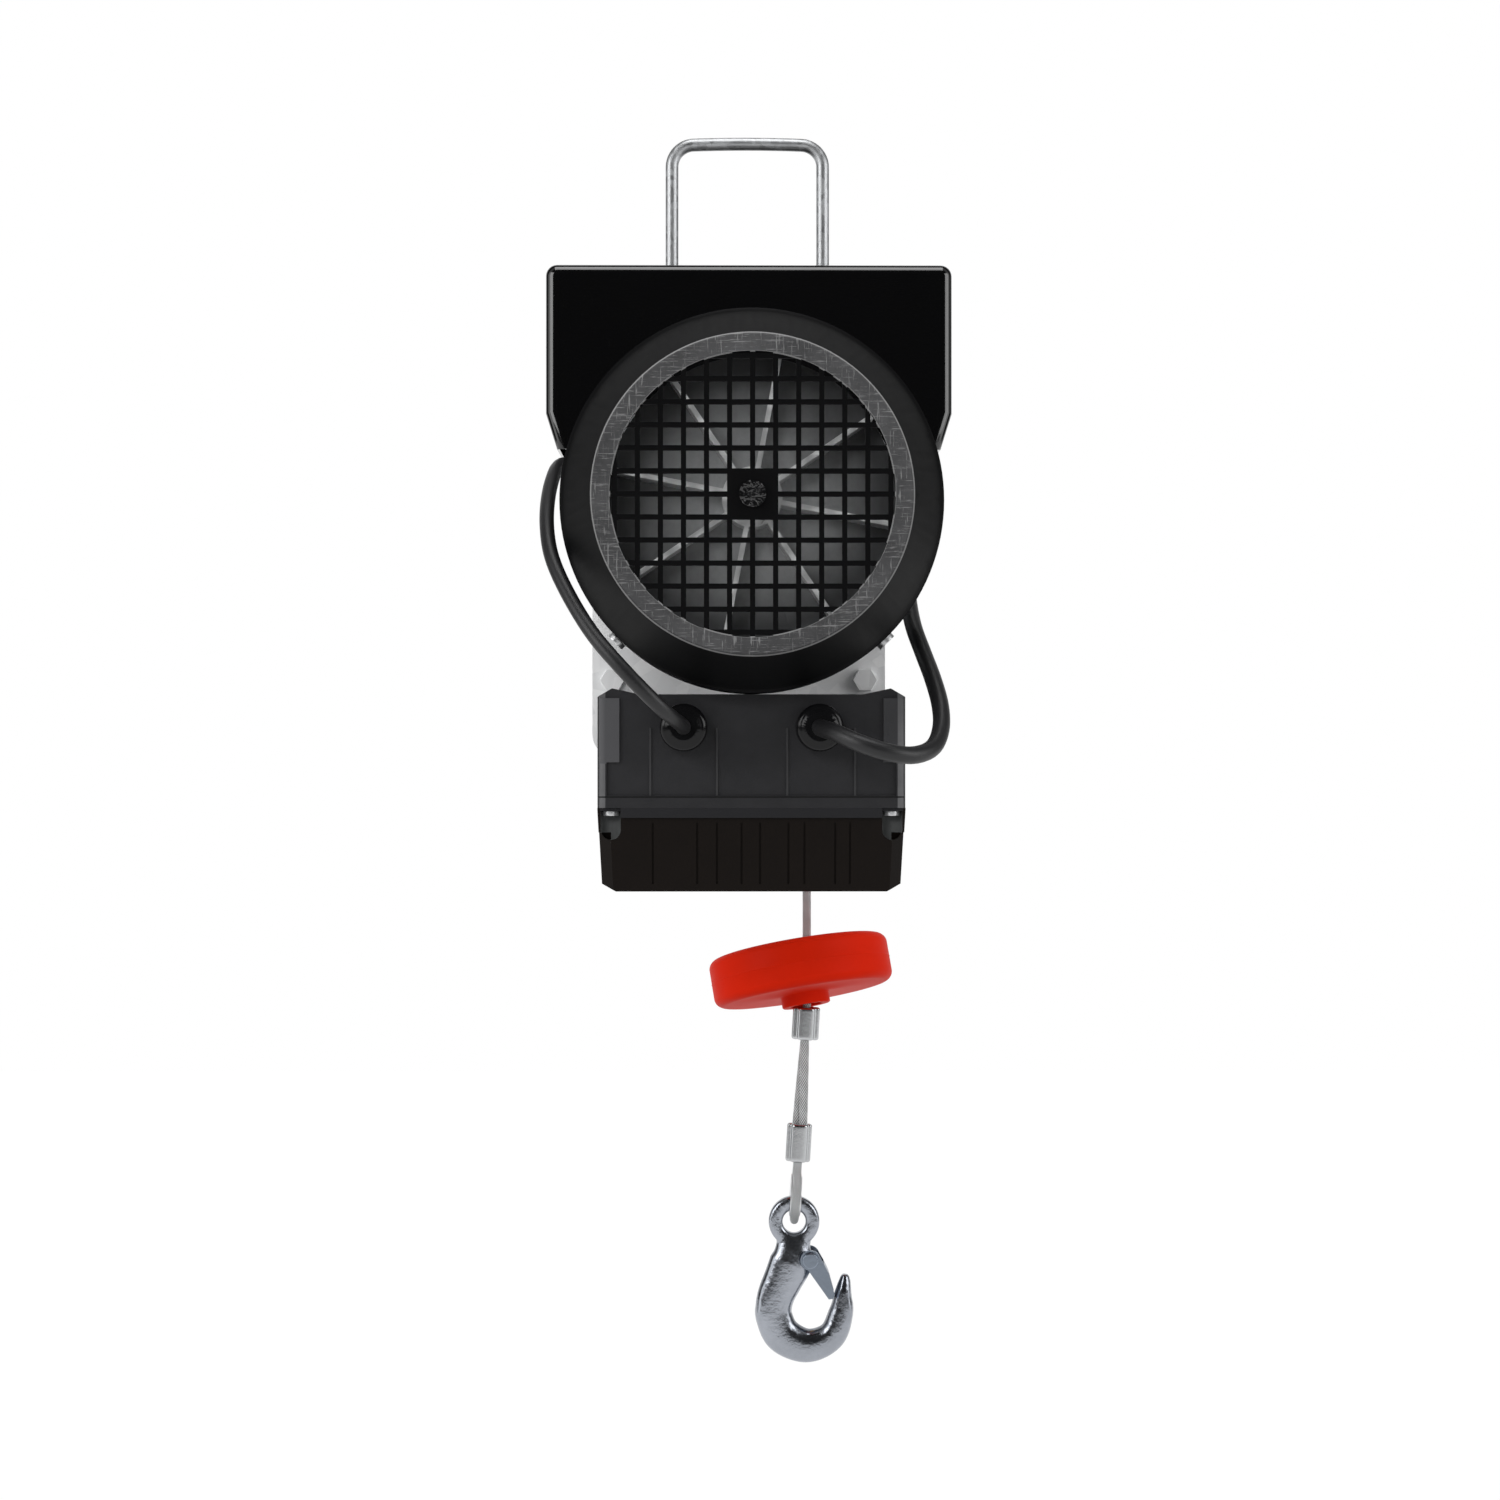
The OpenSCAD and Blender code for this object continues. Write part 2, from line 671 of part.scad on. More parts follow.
module motor_fan_shield() {
  color("darkgray")
    difference() {
      union() {
        cyl_y(shell_d, shield_end_y, fan_shield_y, 0, axis_z);
        for (a = lug_turns)
          translate([0, lug_y, axis_z]) rotate([0, a, 0])
            block(shell_d / 2 - 4, cover_d / 2 - cover_t - 0.3, -5, 5, -6, 6);
      }
      cyl_y(motor_brg_d, fan_shield_y - motor_brg_w - 2 * touch, fan_shield_y + 1, 0, axis_z);
      cyl_y(shaft_d + 4, shield_end_y - 1, fan_shield_y, 0, axis_z);
      for (a = lug_turns)
        translate([0, lug_y, axis_z]) rotate([0, a, 0]) translate([cover_d / 2 - 12, 0, 0])
          rotate([0, 90, 0]) cylinder(d = screw_d + 2 * run_fit, h = 20);
    }
}

stator_d = shell_d - 2 * motor_wall - 2 * touch;

module stator_core() {
  color("dimgray")
    tube_y(stator_d, stator_bore, core_y - core_len / 2, core_y + core_len / 2, 0, axis_z);
}

module stator_windings() {
  color("peru")
    for (s = [-1, 1])
      tube_y(stator_d - 8, stator_bore + 4, core_y + s * (core_len / 2 + 5.5) - 5,
        core_y + s * (core_len / 2 + 5.5) + 5, 0, axis_z);
}

// A two-dimensional grille: crossed bars inside a circle, with a solid square in the middle
module grille_2d() {
  half = ceil(grille_d / grille_pitch / 2);
  intersection() {
    circle(d = grille_d + 1);
    union() {
      for (i = [-half:half]) {
        translate([i * grille_pitch - grille_bar / 2, -grille_d / 2]) square([grille_bar, grille_d]);
        translate([-grille_d / 2, i * grille_pitch - grille_bar / 2]) square([grille_d, grille_bar]);
      }
      square(grille_pad, center = true);
    }
  }
}

module fan_cover() {
  r = cover_d / 2;
  rr = ring_d / 2;
  color([0.1, 0.1, 0.1]) {
    difference() {
      union() {
        along_y(ring_y, 0, axis_z) rotate_extrude() polygon([
          [grille_d / 2, 0], [rr - 1, 0], [rr, 1], [r - 1.5, flare_len - 1.5], [r, flare_len],
          [r, flare_len + skirt_len], [r - cover_t, flare_len + skirt_len],
          [r - cover_t, flare_len], [r - cover_t - 1, flare_len - 0.5],
          [rr - cover_t, 3], [grille_d / 2, 3]
        ]);
        along_y(ring_y + 0.5, 0, axis_z) linear_extrude(2) grille_2d();
        cyl_y(nub_d, ring_y - 1.5, ring_y + 1, 0, axis_z);
      }
      for (a = lug_turns)
        translate([0, lug_y, axis_z]) rotate([0, a, 0]) translate([r - 6, 0, 0])
          rotate([0, 90, 0]) cylinder(d = screw_d + 2 * run_fit, h = 10);
    }
  }
}

module fan_cover_screws() {
  color("silver")
    for (a = lug_turns)
      translate([0, lug_y, axis_z]) rotate([0, a, 0]) translate([cover_d / 2, 0, 0])
        rotate([0, 90, 0]) {
          translate([0, 0, -11]) cylinder(d = screw_d, h = 12);
          translate([0, 0, touch]) cylinder(d = 2 * screw_d, h = 2.2);
        }
}

// ---------- moving parts of the motor and gears ----------

module motor_shaft() {
  color("gainsboro") {
    cyl_y(shaft_d, fan_front_y, wheel2_end + 3, 0, axis_z);
    cyl_y(journal_d, wheel2_end + 2, cover_end - 3, 0, axis_z);
    along_y(pinion1_y, 0, axis_z) linear_extrude(face1 + 2)
      rotate(idler_turn) gear_2d(pinion1_n, mod1, 1, tooth_play);
  }
}

module rotor_core() {
  color("slategray")
    tube_y(stator_bore - 0.8, shaft_d + 2 * touch, core_y - core_len / 2, core_y + core_len / 2, 0, axis_z);
}

module cooling_fan() {
  color("lightgray")
    difference() {
      union() {
        cyl_y(fan_d, fan_back_y - blade_t, fan_back_y, 0, axis_z);
        cyl_y(shaft_d + 12, fan_front_y, fan_back_y, 0, axis_z);
        for (i = [0:fan_blades - 1])
          translate([0, 0, axis_z]) rotate([0, fan_turn + i * 360 / fan_blades, 0])
            block(shaft_d / 2 + 4, fan_d / 2 - 1, fan_front_y, fan_back_y - 1, -blade_t / 2, blade_t / 2);
      }
      cyl_y(shaft_d + 2 * touch, fan_front_y - 1, fan_back_y + 1, 0, axis_z);
    }
}

module intermediate_shaft() {
  color("gainsboro") {
    cyl_y(journal_d, plate_out + 1, cover_end - 3, idler_x, idler_z);
    cyl_y(journal_d + 3, wheel2_end - 1, pinion1_end + 1, idler_x, idler_z);
    along_y(wheel2_y - 1, idler_x, idler_z) linear_extrude(face2 + 2)
      rotate(idler_turn + 180) gear_2d(pinion2_n, mod2, 1, tooth_play);
  }
}

module intermediate_gear() {
  color("lightsteelblue")
    difference() {
      along_y(pinion1_y + 1, idler_x, idler_z) linear_extrude(face1)
        rotate(idler_turn + 180 + 180 / wheel1_n) gear_2d(wheel1_n, mod1, 0.85, tooth_play);
      cyl_y(journal_d + 3 + 2 * touch, pinion1_y, pinion1_end + 1, idler_x, idler_z);
      for (a = [30:60:330])
        cyl_y(9, pinion1_y, pinion1_end + 1, idler_x + 19 * cos(a), idler_z + 19 * sin(a));
    }
}

module output_gear() {
  color("lightsteelblue")
    difference() {
      along_y(wheel2_y, 0, axis_z) linear_extrude(face2)
        rotate(idler_turn + 180 / wheel2_n) gear_2d(wheel2_n, mod2, 0.85, tooth_play);
      cyl_y(hub_d + 2 * touch, wheel2_y - 1, wheel2_end + 1, 0, axis_z);
    }
}

module rope_drum() {
  color("steelblue")
    difference() {
      union() {
        cyl_y(barrel_d, -hub_end, hub_end, 0, axis_z);
        for (s = [-1, 1])
          cyl_y(flange_d, s * (drum_len + flange_t) / 2 - flange_t / 2,
            s * (drum_len + flange_t) / 2 + flange_t / 2, 0, axis_z);
        cyl_y(hub_d, -plate_in + 2, wheel2_end, 0, axis_z);
      }
      cyl_y(shaft_d + 2, -plate_in, wheel2_end + 1, 0, axis_z);
    }
}

// The rope's top layer, from the drum's -Y flange to its leaving point at +X
wind_pitch = rope_d + wind_gap;
wind_rings = 24 * top_turns;
wind_start = -top_turns * wind_pitch;
function wind_point(i) =
  let (a = 360 * i / 24)
  [wind_r * cos(a), wind_start + wind_pitch * i / 24, axis_z - wind_r * sin(a)];
wind_path = concat([for (i = [0:wind_rings]) wind_point(i)], [[wind_r, 0, rope_top_z]]);

module rope_winding() {
  color("lightgray") {
    tube_y(2 * wind_r - rope_d - loose, barrel_d + 2 * touch, -drum_len / 2 + touch,
      drum_len / 2 - touch, 0, axis_z);
    swept(wind_path, rope_d / 2, 6, [1, 0, 0]);
  }
}

wind_least = least_gap([for (i = [0:4:wind_rings]) wind_path[i]], 5) - rope_d;
echo(str("least gap between turns of the winding: ", wind_least));

// ---------- gearbox ----------

gear_room_r = wheel1_n * mod1 / 2 + 1.8;

module gear_room_2d() {
  circle(gear_room_r);
  translate([idler_x, -(idler_z - axis_z)]) circle(gear_room_r);
  rotate(idler_turn) translate([0, 2 - gear_room_r]) square([centre_d, 2 * gear_room_r - 4]);
}

cover_screws = [[-1, -1], [-1, 1], [1, -1], [1, 1]];
cover_screw_x = gearbox_w / 2 - 9;

module gearbox_housing() {
  color("darkgray")
    difference() {
      along_y(plate_out + touch, 0, axis_z) linear_extrude(gearbox_end - plate_out - touch)
        round_rect(gearbox_w, gearbox_w, gearbox_r);
      along_y(plate_out + gear_floor, 0, axis_z) linear_extrude(gearbox_end - plate_out)
        gear_room_2d();
      cyl_y(hub_d + 2, plate_out - 1, plate_out + gear_floor + 1, 0, axis_z);
      cyl_y(journal_d + 2 * run_fit, plate_out - 1, plate_out + gear_floor + 1, idler_x, idler_z);
      for (p = cover_screws)
        cyl_y(screw_d + 2 * run_fit, gearbox_end - 12, gearbox_end + 1, p[0] * cover_screw_x,
          axis_z + p[1] * cover_screw_x);
    }
}

tie_bar_z = coil_z + coil_r + pendant_d / 2 + 4.5;
cover_boss = 1.5;
tie_bar_y = cover_end + cover_boss + 4.5;
tie_bar_d = 5;
tie_post_x = 11;

module gearbox_cover() {
  color("darkgray") {
    difference() {
      union() {
        along_y(gearbox_end + touch, 0, axis_z) linear_extrude(gear_cover_t - touch)
          round_rect(gearbox_w, gearbox_w, gearbox_r);
        cyl_y(26, cover_end - 1, cover_end + cover_boss, 0, axis_z);
        cyl_y(26, cover_end - 1, cover_end + cover_boss, idler_x, idler_z);
        for (s = [-1, 1])
          block(coil_x + s * tie_post_x - 2, coil_x + s * tie_post_x + 2, cover_end - 1,
            tie_bar_y + tie_bar_d / 2, tie_bar_z - 3, tie_bar_z + 3);
        translate([coil_x - tie_post_x, tie_bar_y, tie_bar_z]) rotate([0, 90, 0])
          cylinder(d = tie_bar_d, h = 2 * tie_post_x);
      }
      cyl_y(journal_d + 2 * run_fit, gearbox_end - 1, cover_end - 2, 0, axis_z);
      cyl_y(journal_d + 2 * run_fit, gearbox_end - 1, cover_end - 2, idler_x, idler_z);
      for (p = cover_screws)
        cyl_y(screw_d + 2 * run_fit, gearbox_end - 1, cover_end + 1, p[0] * cover_screw_x,
          axis_z + p[1] * cover_screw_x);
    }
  }
}

module gearbox_screws() {
  color("silver")
    for (p = cover_screws) {
      x = p[0] * cover_screw_x;
      z = axis_z + p[1] * cover_screw_x;
      cyl_y(screw_d, gearbox_end - 10, cover_end + 1, x, z);
      difference() {
        cyl_y(1.8 * screw_d, cover_end + touch, cover_end + screw_d, x, z);
        along_y(cover_end + screw_d / 2, x, z) cylinder(d = 0.9 * screw_d, h = screw_d, $fn = 6);
      }
    }
}

// ---------- control box ----------

half_box = box_w / 2;
dish_x = half_box - 17;
post_x = half_box - 6;
box_outline = [
  [-half_box, box_seam_z], [-half_box, box_post_z - 3.5], [-post_x, box_post_z],
  [-dish_x, box_top_z], [dish_x, box_top_z], [post_x, box_post_z],
  [half_box, box_post_z - 3.5], [half_box, box_seam_z]
];
box_rib_x = [-41, -14, 14.5, 42];
lid_rib_x = [-40, -22, -14, -4, 3.5, 15, 21.5, 34, 40];
well_x = half_box - 5.4;
well_w = 8.2;
well_top = lid_top_z - 1.2;
well_end = lid_top_z - 13;
box_round = 3.5;     // rounding of the box's vertical front corners
lid_draw = 1.6;
lid_slope = 6;

module control_box() {
  color([0.2, 0.2, 0.21])
    difference() {
      union() {
        difference() {
          along_y(box_front_y) linear_extrude(box_len) scale([1, -1]) polygon(box_outline);
          block(-half_box + box_wall, half_box - box_wall, box_front_y + box_wall, box_back_y - box_wall,
            box_seam_z - 1, box_top_z - box_wall);
        }
        difference() {
          block(-half_box, half_box, box_front_y - 1.2, box_back_y, lid_top_z, box_seam_z + 0.5);
          block(-half_box + box_wall, half_box - box_wall, box_front_y + box_wall, box_back_y - box_wall,
            lid_top_z - 1, box_seam_z + 1);
        }
        for (s = [-1, 1]) {
          for (y = lid_screw_y)
            translate([s * well_x, y, lid_top_z]) cylinder(d = 7.6, h = 14);
          cyl_y(10, box_back_y - 1, -plate_out - touch, s * box_screw_x, box_screw_z);
        }
        for (s = [-1, 1]) {
          translate([s * (half_box - 4.5), 0, 0])
            block(-4.5, 4.5, box_front_y - 1.2, box_front_y + 1, box_post_z - 30, box_post_z - 4);
          translate([s * (half_box - 1.9), 0, 0])
            block(-1.9, 1.9, box_front_y - 1.2, box_front_y + 1, box_seam_z + 0.4, box_post_z - 29);
        }
        for (x = box_rib_x)
          block(x - 0.4, x + 0.4, box_front_y - 0.6, box_front_y + 1, box_seam_z - 0.2, box_post_z - 16);
      }
      for (s = [-1, 1]) {
        translate([0, 0, lid_top_z - 1]) linear_extrude(box_h + band_h + 10) scale([s, 1])
          polygon(concat(
            [[half_box + 2, box_front_y - 4], [half_box + 2, box_front_y + box_round - 1.2]],
            arc(half_box - box_round, box_front_y + box_round - 1.2, box_round, 0, -90, 6),
            [[half_box - box_round, box_front_y - 4]]
          ));
        cyl_y(gland_d - 4, box_front_y - 2, box_front_y + box_wall + 1, s * gland_x, gland_z);
        cyl_y(screw_d + 2 * run_fit, box_back_y - box_wall - 1, -plate_out + 1, s * box_screw_x, box_screw_z);
        for (y = lid_screw_y)
          translate([s * well_x, y, lid_top_z - 1]) cylinder(d = screw_d + 2 * run_fit, h = 5);
      }
    }
}

lid_screw_y = [box_front_y + 4, box_back_y - 4];
lid_cut = 6;         // the lid's vertical corners are cut off this far

module lid_outline(in, top) {
  scale([1, -1]) polygon([
    [-half_box + in, top], [-half_box + lid_draw + in, lid_bottom_z + 3],
    [-half_box + 7.5 + in, lid_bottom_z + in], [half_box - 7.5 - in, lid_bottom_z + in],
    [half_box - lid_draw - in, lid_bottom_z + 3], [half_box - in, top]
  ]);
}

// A slot with one round end, open towards -Y by the given length
function slot_2d(r, n) = concat(arc(0, 0, r, 0, 180, 12), [[-r, -n], [r, -n]]);

// Room for a screwdriver below a lid screw, round at its back and at its lower end
module lid_well(x, y, side) {
  translate([x, y, 0])
    intersection() {
      translate([0, side * -4.5, well_end - 1]) linear_extrude(well_top - well_end + 1)
        scale([1, -side]) polygon(slot_2d(well_w / 2, 20));
      along_y(-15, 0, well_end + well_w / 2) linear_extrude(30)
        polygon(slot_2d(well_w / 2, well_top - well_end - well_w / 2 + 1));
    }
}

module box_lid() {
  color([0.11, 0.1, 0.095])
    difference() {
      union() {
        along_y(box_front_y) linear_extrude(box_len) lid_outline(0, lid_top_z - touch);
        block(-well_x + well_w / 2, well_x - well_w / 2, box_front_y - 1.2, box_front_y + 2,
          lid_top_z - 4, lid_top_z - touch);
      }
      // hollow, with solid corners round the wells
      along_y(box_front_y + 12) linear_extrude(box_len - 24) lid_outline(box_wall, lid_top_z + 1);
      intersection() {
        along_y(box_front_y + 8) linear_extrude(box_len - 16) lid_outline(box_wall, lid_top_z + 1);
        block(-half_box + 14, half_box - 14, box_front_y, box_back_y, lid_bottom_z - 1, lid_top_z + 2);
      }
      // the front leans back towards its lower edge and is grooved
      translate([0, box_front_y, lid_top_z - 4]) rotate([lid_slope, 0, 0]) {
        block(-half_box - 1, half_box + 1, -12, 0, -lid_h - 10, -0.2);
        for (x = lid_rib_x)
          block(x - 0.4, x + 0.4, -1, 0.6, -lid_h + 7, -2);
      }
      for (s = [-1, 1]) {
        lid_well(s * well_x, box_front_y, -1);
        lid_well(s * well_x, box_back_y, 1);
        for (y = lid_screw_y)
          translate([s * well_x, y, lid_top_z - 4]) cylinder(d = screw_d + 2 * run_fit, h = 6);
        translate([s * half_box, box_front_y, lid_top_z - 10]) rotate([0, 0, s * 45])
          rotate([lid_slope, 0, 0]) block(-12, 12, -12, lid_cut * 0.7, -lid_h - 5, 0);
        translate([s * half_box, box_back_y, lid_top_z - 10]) rotate([0, 0, s * 135])
          rotate([lid_slope, 0, 0]) block(-12, 12, -12, lid_cut * 0.7, -lid_h - 5, 0);
      }
    }
}

module lid_screws() {
  color("silver")
    for (s = [-1, 1])
      for (y = lid_screw_y)
        translate([s * well_x, y, well_top]) {
          translate([0, 0, -1]) cylinder(d = screw_d, h = 5);
          translate([0, 0, -2]) cylinder(d = 1.6 * screw_d, h = 2 - touch);
        }
}

capacitor_d = 26;
capacitor_len = 48;
capacitor_y = box_front_y + 30;

module run_capacitor() {
  color("whitesmoke")
    cyl_y(capacitor_d, capacitor_y, capacitor_y + capacitor_len, -22,
      lid_bottom_z + box_wall + capacitor_d / 2 + touch);
}

// Gland: a domed nut outside the box, a threaded neck through its wall and a nut inside
module gland(x, lead_d) {
  n = gland_d / 2;
  color([0.07, 0.07, 0.07]) {
    along_y(gland_mouth_y, x, gland_z) rotate_extrude() polygon(concat(
      [[0, 0], [lead_d / 2 + 2, 0], [n - 2.2, 1]],
      arc(n - 2.5, 3.5, 2.5, -80, 0),
      [[n, gland_len - 5], [n - 0.8, gland_len - 4.4], [n, gland_len - 3.8],
        [n, gland_len - touch], [n - 2 - run_fit, gland_len - touch],
        [n - 2 - run_fit, gland_len + box_wall + 5], [0, gland_len + box_wall + 5]]
    ));
    along_y(box_front_y + box_wall + touch, x, gland_z)
      difference() {
        cylinder(d = gland_d + 3, h = 4, $fn = 6);
        translate([0, 0, -1]) cylinder(d = gland_d - 4, h = 6);
      }
  }
}

module mains_gland() { gland(gland_x, mains_d); }

module pendant_gland() { gland(-gland_x, pendant_d); }

// ---------- limit stop ----------

pin_y = -plate_in + 12;
pin_z = -lever_drop + 10;
pin_d = 4;
ear_x = 9;
spring_len = 5.8;    // the lever's spring, on the pin beyond the left ear
pin_left = rope_x - ear_x - spring_len - 4.8;
pin_right = rope_x + ear_x + 4;
bracket_t = 3;
bracket_holes = [[rope_x - 6, -plate_drop + 14], [rope_x + 6, -plate_drop + 14]];

module limit_bracket() {
  color("silver")
    difference() {
      union() {
        block(rope_x - ear_x - 2, rope_x + ear_x + 2, -plate_in + touch, -plate_in + bracket_t,
          pin_z - 6, -plate_drop + 22);
        for (s = [-1, 1])
          translate([rope_x + s * (ear_x + 1), 0, 0])
            block(-1, 1, -plate_in + touch, pin_y + 6, pin_z - 6, pin_z + 6);
        for (p = bracket_holes) {
          cyl_y(screw_d, -plate_out - 1, -plate_in + 1, p[0], p[1]);
          cyl_y(2 * screw_d, -plate_in + bracket_t - 0.5, -plate_in + bracket_t + 2.5, p[0], p[1]);
        }
      }
      translate([rope_x - ear_x - 3, pin_y, pin_z]) rotate([0, 90, 0])
        cylinder(d = pin_d, h = 2 * ear_x + 6);
    }
}

module lever_pin() {
  color("gainsboro") {
    translate([pin_left, pin_y, pin_z]) rotate([0, 90, 0])
      cylinder(d = pin_d - 2 * touch, h = pin_right - pin_left);
    for (x = [pin_left, pin_right - 1.5])
      translate([x, pin_y, pin_z]) rotate([0, 90, 0]) cylinder(d = pin_d + 5, h = 1.5);
  }
}

lever_hub_d = pin_d + 4.5;
lever_t = 2.5;

module limit_lever() {
  color("silver")
    difference() {
      union() {
        translate([rope_x - ear_x + 0.5, pin_y, pin_z]) rotate([0, 90, 0])
          cylinder(d = lever_hub_d, h = 2 * ear_x - 1);
        // the arm slopes from the pin to the ring
        translate([rope_x, pin_y, pin_z]) rotate([-atan(arm_slope), 0, 0])
          block(-6, 6, 0, -pin_y - 10, -lever_t / 2, lever_t / 2);
        translate([rope_x, 0, -lever_drop - lever_t / 2]) cylinder(d = 34, h = lever_t);
      }
      translate([rope_x, 0, -lever_drop - 4]) cylinder(d = 16, h = 8);
      translate([rope_x - ear_x - 3, pin_y, pin_z]) rotate([0, 90, 0])
        cylinder(d = pin_d + 2 * run_fit, h = 2 * ear_x + 6);
    }
}

plunger_y = pin_y + 14;
plunger_r = 1.8;
switch_z = pin_z + 9;

module limit_switch() {
  color([0.75, 0.12, 0.1])
    difference() {
      block(rope_x - 8, rope_x + 8, -plate_in + bracket_t + touch, plunger_y + 5, switch_z, switch_z + 18);
      translate([rope_x, plunger_y, switch_z - 1]) cylinder(r = plunger_r + run_fit, h = 12);
    }
}

module limit_plunger() {
  color("white")
    translate([rope_x, plunger_y, plunger_foot])
      cylinder(r = plunger_r, h = switch_z + 7 - plunger_foot);
}

arm_slope = (pin_z + lever_drop) / -pin_y;
plunger_foot = pin_z + lever_t / 2 - (plunger_y - pin_y - plunger_r) * arm_slope + 0.3;

module lever_spring() {
  color("gray")
    swept([for (i = [0:24]) let (a = 45 * i)
      [pin_left + 2.2 + spring_len * i / 24, pin_y + pin_d * cos(a), pin_z + pin_d * sin(a)]],
      0.4, 6, [1, 0, 0]);
}

// Drawn upwards from the ferrule's top, with a tapered bore that lets the disc tip on the rope
module stop_disc() {
  r = disc_d / 2;
  top = disc_hub + disc_h;
  boss = top + 1.2;
  tilt = acos(cos(disc_tip) * cos(disc_lean));
  bore_r = boss * tan(tilt) + rope_d / 2 / cos(tilt) + 0.3;
  hub_r = bore_r + 1.6;
  e = 4.5;
  color([0.85, 0.16, 0.09])
    translate([rope_x, 0, -ferrule1_drop]) rotate([-disc_lean, -disc_tip, 0])
      rotate_extrude() polygon(concat(
        [[rope_d / 2 + 1.2, 1.4], [ferrule_w / 2 + 0.8, 2.4], [ferrule_w / 2 + 0.8, 0.6], [hub_r, 0.6],
          [hub_r, disc_hub], [r - e, disc_hub]],
        arc(r - e, disc_hub + e, e, -75, 0), arc(r - e, top - e, e, 0, 75),
        [[r - e, top], [hub_r, top], [hub_r, boss], [bore_r, boss]]
      ));
}

// ---------- rope end and hook ----------

lean_turn = atan(rope_lean / (eye_drop + ferrule2_h + fall_len + ferrule1_h));
strand_r = rope_d / 2 + 0.1;
strand_turn = -65;   // the two parts lie nearly behind each other
ferrule_w = 13.2;

// Frame of the leaning rope end: z is measured down from the upper ferrule's top
module leaning(down) {
  translate([rope_x, 0, -ferrule1_drop]) rotate([0, lean_turn, 0]) translate([0, 0, -down]) children();
}

module hoist_rope() {
  color("lightgray")
    translate([rope_x, 0, -ferrule1_drop + touch])
      cylinder(d = rope_d, h = ferrule1_drop + rope_top_z - 2 * touch);
}

module oval_2d(w, d) {
  square([w - d, d], center = true);
  for (s = [-1, 1])
    translate([s * (w - d) / 2, 0]) circle(d = d);
}

// A pressed ferrule: an oval round both parts of the rope, with a wing at each side
module ferrule_2d(w, d) {
  rotate(90) oval_2d(d, 7.4);
  oval_2d(w, 5);
}

module upper_ferrule() {
  color("lightgray")
    leaning(ferrule1_h) linear_extrude(ferrule1_h - touch) ferrule_2d(ferrule_w, 11.4);
}

ferrule2_down = ferrule1_h + fall_len;

module lower_ferrule() {
  color("lightgray")
    leaning(ferrule2_down + ferrule2_h) linear_extrude(ferrule2_h - touch) ferrule_2d(12.2, 11.2);
}

// The loop's round bottom lies in the hook's eye, lined by the thimble
thimble_t = 1;
thimble_w = 3.6;
loop_r = eye_t / 2 + rope_d / 2 + 5;
loop_in = loop_r - rope_d / 2 - 0.1 - thimble_t;
eye_rise = loop_in - sqrt(loop_in * loop_in - eye_t * eye_t / 4);
hook_sag = loop_r - loop_in + eye_rise + 0.95;
loop_centre = ferrule2_down + ferrule2_h + eye_drop - eye_hole_r + hook_sag - loop_r;
loop_rise = loop_centre - ferrule2_down - ferrule2_h;
loop_turn = asin(min(0.9, (loop_r - rope_d / 2) / loop_rise));
loop_leg = (loop_rise - loop_r * sin(loop_turn)) / cos(loop_turn)
  - rope_d / 2 * sin(loop_turn) - touch;

module loop_sweep(r_mid, section_d) {
  rotate([90, 0, 90]) rotate(180 - loop_turn)
    rotate_extrude(angle = 180 + 2 * loop_turn) translate([r_mid, 0]) circle(d = section_d);
}

module rope_loop() {
  color("lightgray") {
    for (s = [-1, 1]) {
      leaning(ferrule2_down)
        translate([s * strand_r * cos(strand_turn), s * strand_r * sin(strand_turn), touch])
        cylinder(d = rope_d, h = fall_len - 2 * touch);
      leaning(loop_centre) rotate([s * loop_turn, 0, 0]) translate([0, s * loop_r, 0])
        cylinder(d = rope_d, h = loop_leg);
    }
    leaning(loop_centre) loop_sweep(loop_r, rope_d);
  }
}

module thimble() {
  color("silver")
    leaning(loop_centre)
      rotate([90, 0, 90]) rotate(180 - loop_turn)
        rotate_extrude(angle = 180 + 2 * loop_turn)
          translate([loop_in, -thimble_w / 2]) square([thimble_t, thimble_w]);
}

bowl_x = eye_x + 4.9;
bowl_in_x = bowl_x + 2.9;
bowl_in_z = bowl_z + 1.3;
tip_x = bowl_x + 19.1;
tip_z = bowl_z + 17;
rivet_x = eye_x + 7.5;
rivet_z = eye_z - 17.4;

// Hook outline, drawn with x to the right and y up: round the eye, down the back, round
// the bowl to the tip, and back round the inside of the bowl to the throat
module hook_2d() {
  difference() {
    polygon(concat(
      arc(eye_x, eye_z, eye_r, -19, 222, 22),
      [[eye_x - 7.75, eye_z - 11.9], [eye_x - 10.3, eye_z - 18.7],
        [bowl_x - bowl_r + 4, bowl_z + 16], [bowl_x - bowl_r + 1, bowl_z + 9.2]],
      arc(bowl_x, bowl_z, bowl_r, 172, 360, 25),
      arc(tip_x, tip_z, 2.4, 5, 170, 8),
      arc(bowl_in_x, bowl_in_z, bowl_in_r, 0, -236, 26),
      [[rivet_x + 3.6, rivet_z - 2], [rivet_x + 4, rivet_z + 3]]
    ));
    translate([eye_x, eye_z]) circle(eye_hole_r);
    translate([rivet_x, rivet_z]) circle(d = rivet_d + 2 * touch);
  }
}

module hook() {
  color([0.62, 0.65, 0.7])
    difference() {
      along_y(-hook_t / 2) linear_extrude(hook_t) scale([1, -1]) hook_2d();
      for (s = [-1, 1])
        translate([0, s * (eye_t + 10) / 2, 0])
          block(eye_x - eye_r - 1, eye_x + eye_r + 1, -5, 5, eye_z - eye_r + 2, eye_z + eye_r + 1);
      cyl_y(2 * spring_room_r, hook_t / 2 - spring_room, hook_t / 2 + 1, rivet_x, rivet_z);
    }
}

ear_gap = 0.3;
ear_in = hook_t / 2 + ear_gap;
